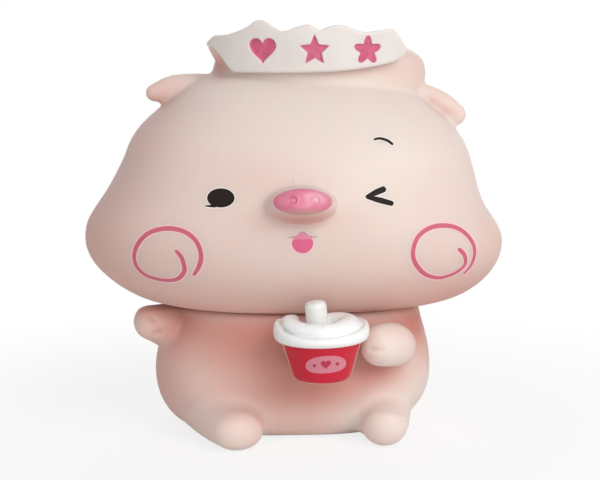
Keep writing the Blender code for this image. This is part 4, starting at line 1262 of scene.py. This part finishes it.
def heartOutline():
    # A heart, about 1 from its middle to its sides
    points = []
    for turn in turnsRound(32, 0.5):
        up = sum(weight * math.cos(times * turn) for times, weight in ((1, 13), (2, -5), (3, -2), (4, -1)))
        points.append((math.sin(turn) ** 3, up / 16 + 0.1))
    return points


def roundOutline(reaches):
    # An outline from its reach at even steps round, starting at its top
    turns = turnsRound(len(reaches))
    return [(math.sin(turn) * reach, math.cos(turn) * reach) for turn, reach in zip(turns, reaches)]


def starOutline():
    return roundOutline((1.08, 0.5) * 5)   # tips and hollows


def flowerOutline():
    return roundOutline([0.78 + 0.24 * math.cos(5 * turn) for turn in turnsRound(40)])


def outlineGap(x, y, outline):
    # Distance to an outline, negative inside it
    best, inside = 1e9, False
    for (ax, ay), (bx, by) in zip(outline, outline[1:] + outline[:1]):
        dx, dy = bx - ax, by - ay
        share = clamp(((x - ax) * dx + (y - ay) * dy) / (dx * dx + dy * dy))
        best = min(best, math.hypot(ax + dx * share - x, ay + dy * share - y))
        if (ay > y) != (by > y) and x < (bx - ax) * (y - ay) / (by - ay) + ax:
            inside = not inside
    return -best if inside else best


def markFrames():
    # Middle, sideways direction and outline of each sunk mark
    frames = []
    rise = sign["markRise"]
    for share, outline in zip(sign["marks"], (heartOutline(), starOutline(), flowerOutline())):
        side = (signPoint(share + 0.02, 0, rise) - signPoint(share - 0.02, 0, rise)).normalized()
        frames.append((signPoint(share, sign["thickness"], rise), side, outline))
    return frames


def markDepthAt(spot, frames):
    # 1 on the floor of a mark, 0 outside it
    depth = 0.0
    half = sign["markSize"] / 2
    for centre, side, outline in frames:
        away = spot - centre
        if away.length < sign["markReach"] * mm:
            gap = outlineGap(away.dot(side) / half / mm, away.z / half / mm, outline) * half
            depth = max(depth, clamp(0.5 - gap / sign["markSoft"]))
    return softStep(depth)


def signRing(share, shrink, frames):
    # One cross-section of the board: front from below, rounded top, back, rounded foot
    low, high = easedTable(sign["bottom"], share), easedTable(sign["top"], share)
    middle, squeeze, thick = (low + high) / 2, 0.75 + 0.25 * shrink, sign["thickness"]
    low, high = middle + (low - middle) * squeeze, middle + (high - middle) * squeeze
    inner, outer = thick * 0.5 * (1 - shrink), thick * (0.5 + 0.5 * shrink)
    bend = min(sign["round"], (outer - inner) * 0.48) / sign["height"]
    soft = bend * sign["height"]
    flat = high - low - 2 * bend
    ring, depths = [], []
    for index in range(sign["frontRows"] + 1):
        rise = low + bend + flat * index / sign["frontRows"]
        depth = markDepthAt(signPoint(share, outer, rise), frames)
        ring.append(signPoint(share, outer - depth * sign["markDepth"], rise))
        depths.append(depth)
    count = sign["roundRows"]
    turns = [math.pi / 2 * index / count for index in range(1, count + 1)]
    bends = [(math.sin(turn), math.cos(turn)) for turn in turns]
    for across, up in bends:
        ring.append(signPoint(share, outer - soft + soft * up, high - bend + bend * across))
    for across, up in bends:
        ring.append(signPoint(share, inner + soft - soft * across, high - bend + bend * up))
    for index in range(1, sign["backRows"] + 1):
        ring.append(signPoint(share, inner, high - bend - flat * index / sign["backRows"]))
    for across, up in bends:
        ring.append(signPoint(share, inner + soft - soft * up, low + bend - bend * across))
    for across, up in bends[:-1]:
        ring.append(signPoint(share, outer - soft + soft * across, low + bend - bend * up))
    return ring, depths + [0.0] * (len(ring) - len(depths))


def buildSign():
    frames = markFrames()
    columns = sign["columns"]
    rings, depths = [], []
    for step in range(columns + 1):
        share = sign["start"] + (1 - sign["start"]) * step / columns
        # the last columns shrink to round the two ends off
        edge = min(step, columns - step) * sign["endColumn"]
        shrink = math.sqrt(max(0.02, 1 - (1 - min(1.0, edge / sign["endRound"])) ** 2))
        ring, deep = signRing(share, shrink, frames)
        rings.append(ring)
        depths += deep
    bm = bmesh.new()
    layer = bm.verts.layers.float.new("mark")
    extrudeRings(bm, rings)
    bm.verts.ensure_lookup_table()
    for vert, depth in zip(bm.verts, depths):
        vert[layer] = depth
    finishPiece(addPiece("hatSign", bm, signWhite), "head", ("hat_sign",))


buildSign()
print("hat sign made")


bodyTree = skinTree(bodySkin)
for points, plane, depth, width in body["creases"]:
    pressGroove(bodySkin, skinPath(bodyTree, points, plane), depth, width)
hollowBody(bodySkin)
# The painted shade and painted light on the body are stored at each point of its skin
paintShadeNear(bodySkin, body["paintedShading"])
bodyNodes = ("body_shell", "arm_raised", "arm_cup", "foot_right", "foot_left")
finishPiece(bodySkin, "torso", bodyNodes)
print("body made")


tail = {
    "root": (0.0, 21.6, 10.88),
    "rootLength": 1.2,
    "rootRadii": (1.9, 1.45),
    "radius": 1.2,
    "thinning": (1.08, 0.5),   # radius at the curl's start and how much less at its end, as shares
    "curl": 1.9,
    "turns": 225,              # degrees of the curl
    "steps": 14,
    "drift": 0.9,              # sideways drift of the curl, as a share of its radius
    "along": 90,
    "around": 24,
    "tip": (0.3, 0.55, 0.78, 0.93),   # rings of the round tip, in quarter turns
}


def tailPath():
    root, curl, steps = Vector(tail["root"]), tail["curl"], tail["steps"]
    foot = root + Vector((0, tail["rootLength"], 0))
    middle = foot + Vector((0, curl * 1.15 + 0.3, curl))
    path, radii = [root, foot], list(tail["rootRadii"])
    for step in range(steps + 1):
        turn = math.radians(-90 + tail["turns"] * step / steps)
        drift = curl * tail["drift"] * (step / steps) ** 1.5
        path.append(middle + Vector((drift, math.cos(turn) * curl, math.sin(turn) * curl)))
        radii.append(tail["radius"] * (tail["thinning"][0] - tail["thinning"][1] * step / steps))
    return smoothRows([(*spot, radius) for spot, radius in zip(path, radii)], tail["along"])


def buildTail():
    rows = tailPath()
    spots = [Vector(row[:3]) * mm for row in rows]
    across = Vector((1, 0, 0))
    rings = []
    for index, row in enumerate(rows):
        way = (spots[min(index + 1, len(rows) - 1)] - spots[max(index - 1, 0)]).normalized()
        across = (across - way * across.dot(way)).normalized()
        up = way.cross(across)
        sides = [across * math.cos(turn) + up * math.sin(turn) for turn in turnsRound(tail["around"])]
        rings.append([spots[index] + side * row[3] * mm for side in sides])
    way = (spots[-1] - spots[-2]).normalized()
    last, end = rows[-1][3] * mm, rings[-1]
    for turn in tail["tip"]:
        centre = spots[-1] + way * last * math.sin(math.pi / 2 * turn)
        rings.append([centre + (spot - spots[-1]) * math.cos(math.pi / 2 * turn) for spot in end])
    bm = bmesh.new()
    extrudeRings(bm, rings, lastPole=spots[-1] + way * last)
    finishPiece(addPiece("tailCurl", bm, bodyVinyl), "torso", ("tail",))


buildTail()
print("tail made")


cup = {
    "foot": (3.85, -27.2, 14.95),
    "lean": -1.0,   # degrees to the picture's left
    # radius and height
    "profile": [
        (0.6, 0.0), (3.1, 0.02), (4.25, 0.10), (4.9, 0.31), (5.38, 0.68), (5.7, 1.15), (5.95, 1.77),
        (6.26, 2.8), (6.62, 4.06), (7.03, 5.4), (7.38, 6.55), (7.6, 7.33), (7.5, 7.65), (7.1, 7.7),
        (2.0, 7.7),
    ],
    "rim": [
        (1.0, 7.75), (6.9, 7.72), (7.9, 7.76), (8.65, 8.0), (9.12, 8.5), (9.28, 9.1), (9.24, 9.75),
        (9.0, 10.25), (8.6, 10.5), (8.25, 10.4), (7.95, 10.1), (7.6, 9.95), (6.4, 10.3), (3.0, 10.75),
    ],
    # where the rim rises and dips: degrees round from +X, spread, mm
    "rimRises": [(165, 40, 1.15), (95, 34, -0.95), (15, 40, 0.9), (375, 40, 0.9), (262, 46, -0.7)],
    # distance out and height where that starts, and over how much it grows to the whole
    "riseFrom": ((4, 4), (8.5, 1.5)),
    # the groove between rim and swirl: degrees from and to, distance out, depth and width
    "groove": (150, 285, 7.8, 0.75, 0.42),
    # the swirl on the lid, from its start to its top: degrees from +X, distance out, height, radius
    "swirl": [
        (150, 5.8, 10.8, 1.5), (165, 6.2, 10.95, 1.65), (185, 6.3, 10.9, 1.75), (212, 5.8, 10.55, 1.7),
        (240, 5.4, 10.25, 1.65), (268, 5.2, 10.15, 1.75), (300, 5.2, 9.9, 2.2), (335, 5.3, 9.85, 2.65),
        (365, 5.2, 9.7, 2.95), (392, 4.6, 9.7, 2.95), (420, 3.8, 9.7, 2.7), (452, 2.6, 9.6, 2.3),
    ],
    "straw": [
        (2.05, 9.5), (2.08, 12.0), (2.12, 14.1), (2.1, 14.6), (1.95, 15.1), (1.6, 15.42), (1.05, 15.6),
        (0.4, 15.66),
    ],
    "strawShift": (0.47, -0.3, 0.0),
    "strawLean": -6.0,
    "around": 96,   # steps of the cup and the lid, and of the straw
    "strawAround": 48,
    "lidVoxel": 0.17 * mm,
    "lidEase": 7,
    "castFrom": 16,   # height over the cup's foot from which the groove is cast down
    # paint: how much a face looks forward where it starts and is full
    "sidePaint": (0.24, 0.32),
    "lidPaint": (0.0, 0.12),
    "topPaint": 8.9,      # distance out within which the lid is painted all round
    "paintSoft": 0.15,
    "footEdge": (0.32, 0.12),   # height over the foot of the paint's lower edge, and how soft it is
    # half sizes, dots' distance and radius, heart's size, lifts of oval and heart
    "emblem": {
        "centre": (4.1, 19.45), "half": (3.82, 1.66), "lean": 0.07, "plane": -34,
        "power": 2.3, "dots": (2.15, 0.34), "heart": (0.98, 0.92), "lifts": (0.05, 0.085),
    },
}


cupPlace = placeAt(cup["foot"], cup["lean"], "Y")


def spun(profile, count=cup["around"], place=None):
    # Spins a profile of (radius, height) in mm into a closed form with round ends
    bm = bmesh.new()
    last = None
    for radius, height in smoothRows(profile, 6 * len(profile)):
        vert = bm.verts.new((radius * mm, 0, height * mm))
        if last:
            bm.edges.new((last, vert))
        last = vert
    bmesh.ops.spin(
        bm, geom=bm.verts[:] + bm.edges[:], axis=(0, 0, 1), cent=(0, 0, 0),
        angle=math.tau, steps=count, use_merge=True,
    )
    bmesh.ops.holes_fill(bm, edges=[edge for edge in bm.edges if edge.is_boundary], sides=0)
    bmesh.ops.recalc_face_normals(bm, faces=bm.faces[:])
    if place:
        bm.transform(place)
    return bm


def forwardShares(piece, low, high, within=0.0):
    # Share of paint at each point: on faces that look forward, and on all within a distance of the axis
    toEye = Vector((eyePoint.x, eyePoint.y, 0)).normalized()
    foot = cupPlace.translation
    shares = []
    for vertex in piece.data.vertices:
        facing = (vertex.normal.dot(toEye) - low) / (high - low)
        out = math.hypot(vertex.co.x - foot.x, vertex.co.y - foot.y) / mm
        shares.append(clamp(max(facing, (within - out) / cup["paintSoft"])))
    return shares


def buildCup():
    piece = addPiece("cupSide", spun(cup["profile"], place=cupPlace), cupPaint)
    low, soft = cup["footEdge"]
    heights = [vertex.co.z / mm - cup["foot"][2] for vertex in piece.data.vertices]
    shares = zip(forwardShares(piece, *cup["sidePaint"]), heights)
    storeShares(piece, "paint", [share * clamp((height - low) / soft) for share, height in shares])
    tree = skinTree(piece)
    finishPiece(piece, "torso", ("cup",))
    return tree


def onLid(degrees, out, height):
    turn = math.radians(degrees)
    return Vector((math.cos(turn) * out, math.sin(turn) * out, height))


def raiseRim(bm):
    (inner, across), (low, tall) = cup["riseFrom"]
    for vert in bm.verts:
        turn = math.degrees(math.atan2(vert.co.y, vert.co.x)) % 360
        out = clamp((math.hypot(vert.co.x, vert.co.y) / mm - inner) / across)
        up = clamp((vert.co.z / mm - low) / tall)
        for middle, spread, rise in cup["rimRises"]:
            vert.co.z += rise * out * up * math.exp(-((turn - middle) / spread) ** 2) * mm


def buildLid():
    bm = spun(cup["rim"])
    raiseRim(bm)
    addLimb(bm, [onLid(*row[:3]) for row in cup["swirl"]], [row[3] for row in cup["swirl"]])
    bm.transform(cupPlace)
    piece = addPiece("lidTop", bm, lidPaint)
    fuse(piece, cup["lidVoxel"], cup["lidEase"])
    start, end, out, depth, width = cup["groove"]
    tree = skinTree(piece)
    line = []
    for turn in turnsBetween(start, end):
        above = cupPlace @ (onLid(math.degrees(turn), out, cup["castFrom"]) * mm)
        line.append(tree.ray_cast(above, Vector((0, 0, -1)))[0])
    pressGroove(piece, line, depth, width)
    storeShares(piece, "paint", forwardShares(piece, *cup["lidPaint"], within=cup["topPaint"]))
    finishPiece(piece, "torso", ("cup_lid",))


def buildStraw():
    place = cupPlace @ placeAt(cup["strawShift"], cup["strawLean"], "Y")
    piece = addPiece("strawStub", spun(cup["straw"], cup["strawAround"], place), strawWhite)
    finishPiece(piece, "torso", ("straw",))


def buildEmblem(tree):
    # A plain oval with a heart between two dots
    emblem = cup["emblem"]
    x, z = emblem["centre"]
    lean, plane = emblem["lean"], emblem["plane"]
    low, high = emblem["lifts"]
    bm = bmesh.new()
    addPatch(bm, tree, ovalOutline(x, z, *emblem["half"], lean, emblem["power"]), plane, low)
    finishPiece(addPiece("emblemOval", bm, emblemPink), "torso", ())
    bm = bmesh.new()
    wide, tall = emblem["heart"]
    heart = [(x + px * wide, z + pz * tall + px * lean) for px, pz in heartOutline()]
    addPatch(bm, tree, heart, plane, high)
    apart, radius = emblem["dots"]
    for side in (-apart, apart):
        dot = ovalOutline(x + side, z + side * lean, radius, radius, count=12)
        addPatch(bm, tree, dot, plane, high)
    finishPiece(addPiece("emblemHeart", bm, heartRed), "torso", ())


cupTree = buildCup()
buildLid()
buildStraw()
buildEmblem(cupTree)
print("cup, lid and straw made")


# The squeaker in the base keeps the CAD's forms
for name, material in (("squeaker_housing", squeakerPlastic), ("squeaker_cap", reedPlastic)):
    node = frame["nodes"][name]
    node.data.materials.clear()
    node.data.materials.append(material)


stage = {
    "radius": 1.2,
    "sides": 128,
    "fade": (0.055, 0.13),   # distance over which the floor turns into the backdrop
    "floor": (0.93, 0.925, 0.92),
    "clouds": (30, 0.985),   # noise scale of the floor's darker clouds, and their tone as a share
    "floorShader": {"Roughness": 0.85, "Specular IOR Level": 0.1},
    "aimHeight": 42 * mm,    # height that the lamps point at
    "fill": 0.39,            # light of the room on the object
    "floorGlow": 0.8,        # share of the floor near the object that shows as backdrop
    "lamps": [
        # name, place, size, power in watts, colour
        ("keyLamp", (0.46, -0.70, 0.54), 0.75, 5.1, (1.0, 0.99, 0.975)),
        ("fillLamp", (-0.75, -0.60, 0.42), 0.70, 0.5, (1.0, 0.98, 0.96)),
        ("lowLamp", (0.05, -0.9, 0.05), 0.50, 1.7, (1.0, 0.98, 0.96)),
        ("backLamp", (0.15, 0.85, 0.45), 0.6, 1.9, (1.0, 1.0, 1.0)),
    ],
}


def buildStage():
    bm = bmesh.new()
    bmesh.ops.create_circle(bm, cap_ends=True, segments=stage["sides"], radius=stage["radius"])
    floor = placeObject("floor", meshFrom("floor", bm))
    material, tree, shader = newMaterial("floorPaper")
    scale, darker = stage["clouds"]
    cloud = remap(tree, objectNoise(tree, scale, 3), 0.3, 0.7, 0.0, 1.0)
    tone = mixColour(tree, cloud, stage["floor"], tuple(value * darker for value in stage["floor"]))
    tree.links.new(tone, shader.inputs["Base Color"])
    tuneShader(material, stage["floorShader"])
    # far from the object the floor shows as the white backdrop
    place = addNode(tree, "ShaderNodeTexCoord")
    size = addNode(tree, "ShaderNodeVectorMath", operation="LENGTH")
    tree.links.new(place.outputs["Object"], size.inputs[0])
    far = remap(tree, size.outputs["Value"], *stage["fade"], stage["floorGlow"], 1.0)
    rays = addNode(tree, "ShaderNodeLightPath").outputs
    seen = mathNode(tree, "MULTIPLY", far, rays["Is Camera Ray"])
    glow = addNode(tree, "ShaderNodeEmission")
    glow.inputs["Strength"].default_value = 1.0
    blend = addNode(tree, "ShaderNodeMixShader")
    tree.links.new(seen, blend.inputs[0])
    tree.links.new(shader.outputs[0], blend.inputs[1])
    tree.links.new(glow.outputs[0], blend.inputs[2])
    tree.links.new(blend.outputs[0], tree.nodes["Material Output"].inputs["Surface"])
    floor.data.materials.append(material)


def buildWorld():
    world = bpy.data.worlds.new("studio")
    bpy.context.scene.world = world
    world.use_nodes = True
    tree = world.node_tree
    back = tree.nodes["Background"]
    back.inputs["Color"].default_value = (1, 1, 1, 1)
    rays = addNode(tree, "ShaderNodeLightPath").outputs
    glossy = mathNode(tree, "MAXIMUM", rays["Is Glossy Ray"], rays["Is Transmission Ray"])
    seen = mathNode(tree, "MAXIMUM", rays["Is Camera Ray"], glossy)
    tree.links.new(remap(tree, seen, 0.0, 1.0, stage["fill"], 1.0), back.inputs["Strength"])


def buildLamps():
    aim = Vector((0, neckAxis.y, stage["aimHeight"]))
    for name, place, size, power, colour in stage["lamps"]:
        data = bpy.data.lights.new(name, "AREA")
        data.shape = "DISK"
        data.size = size
        data.energy = power
        data.color = colour
        lamp = placeObject(name, data)
        lamp.location = place
        lamp.rotation_euler = (Vector(place) - aim).to_track_quat("Z", "Y").to_euler()


buildStage()
buildWorld()
buildLamps()
bpy.context.scene.view_settings.view_transform = "Standard"
print("stage and lights set")
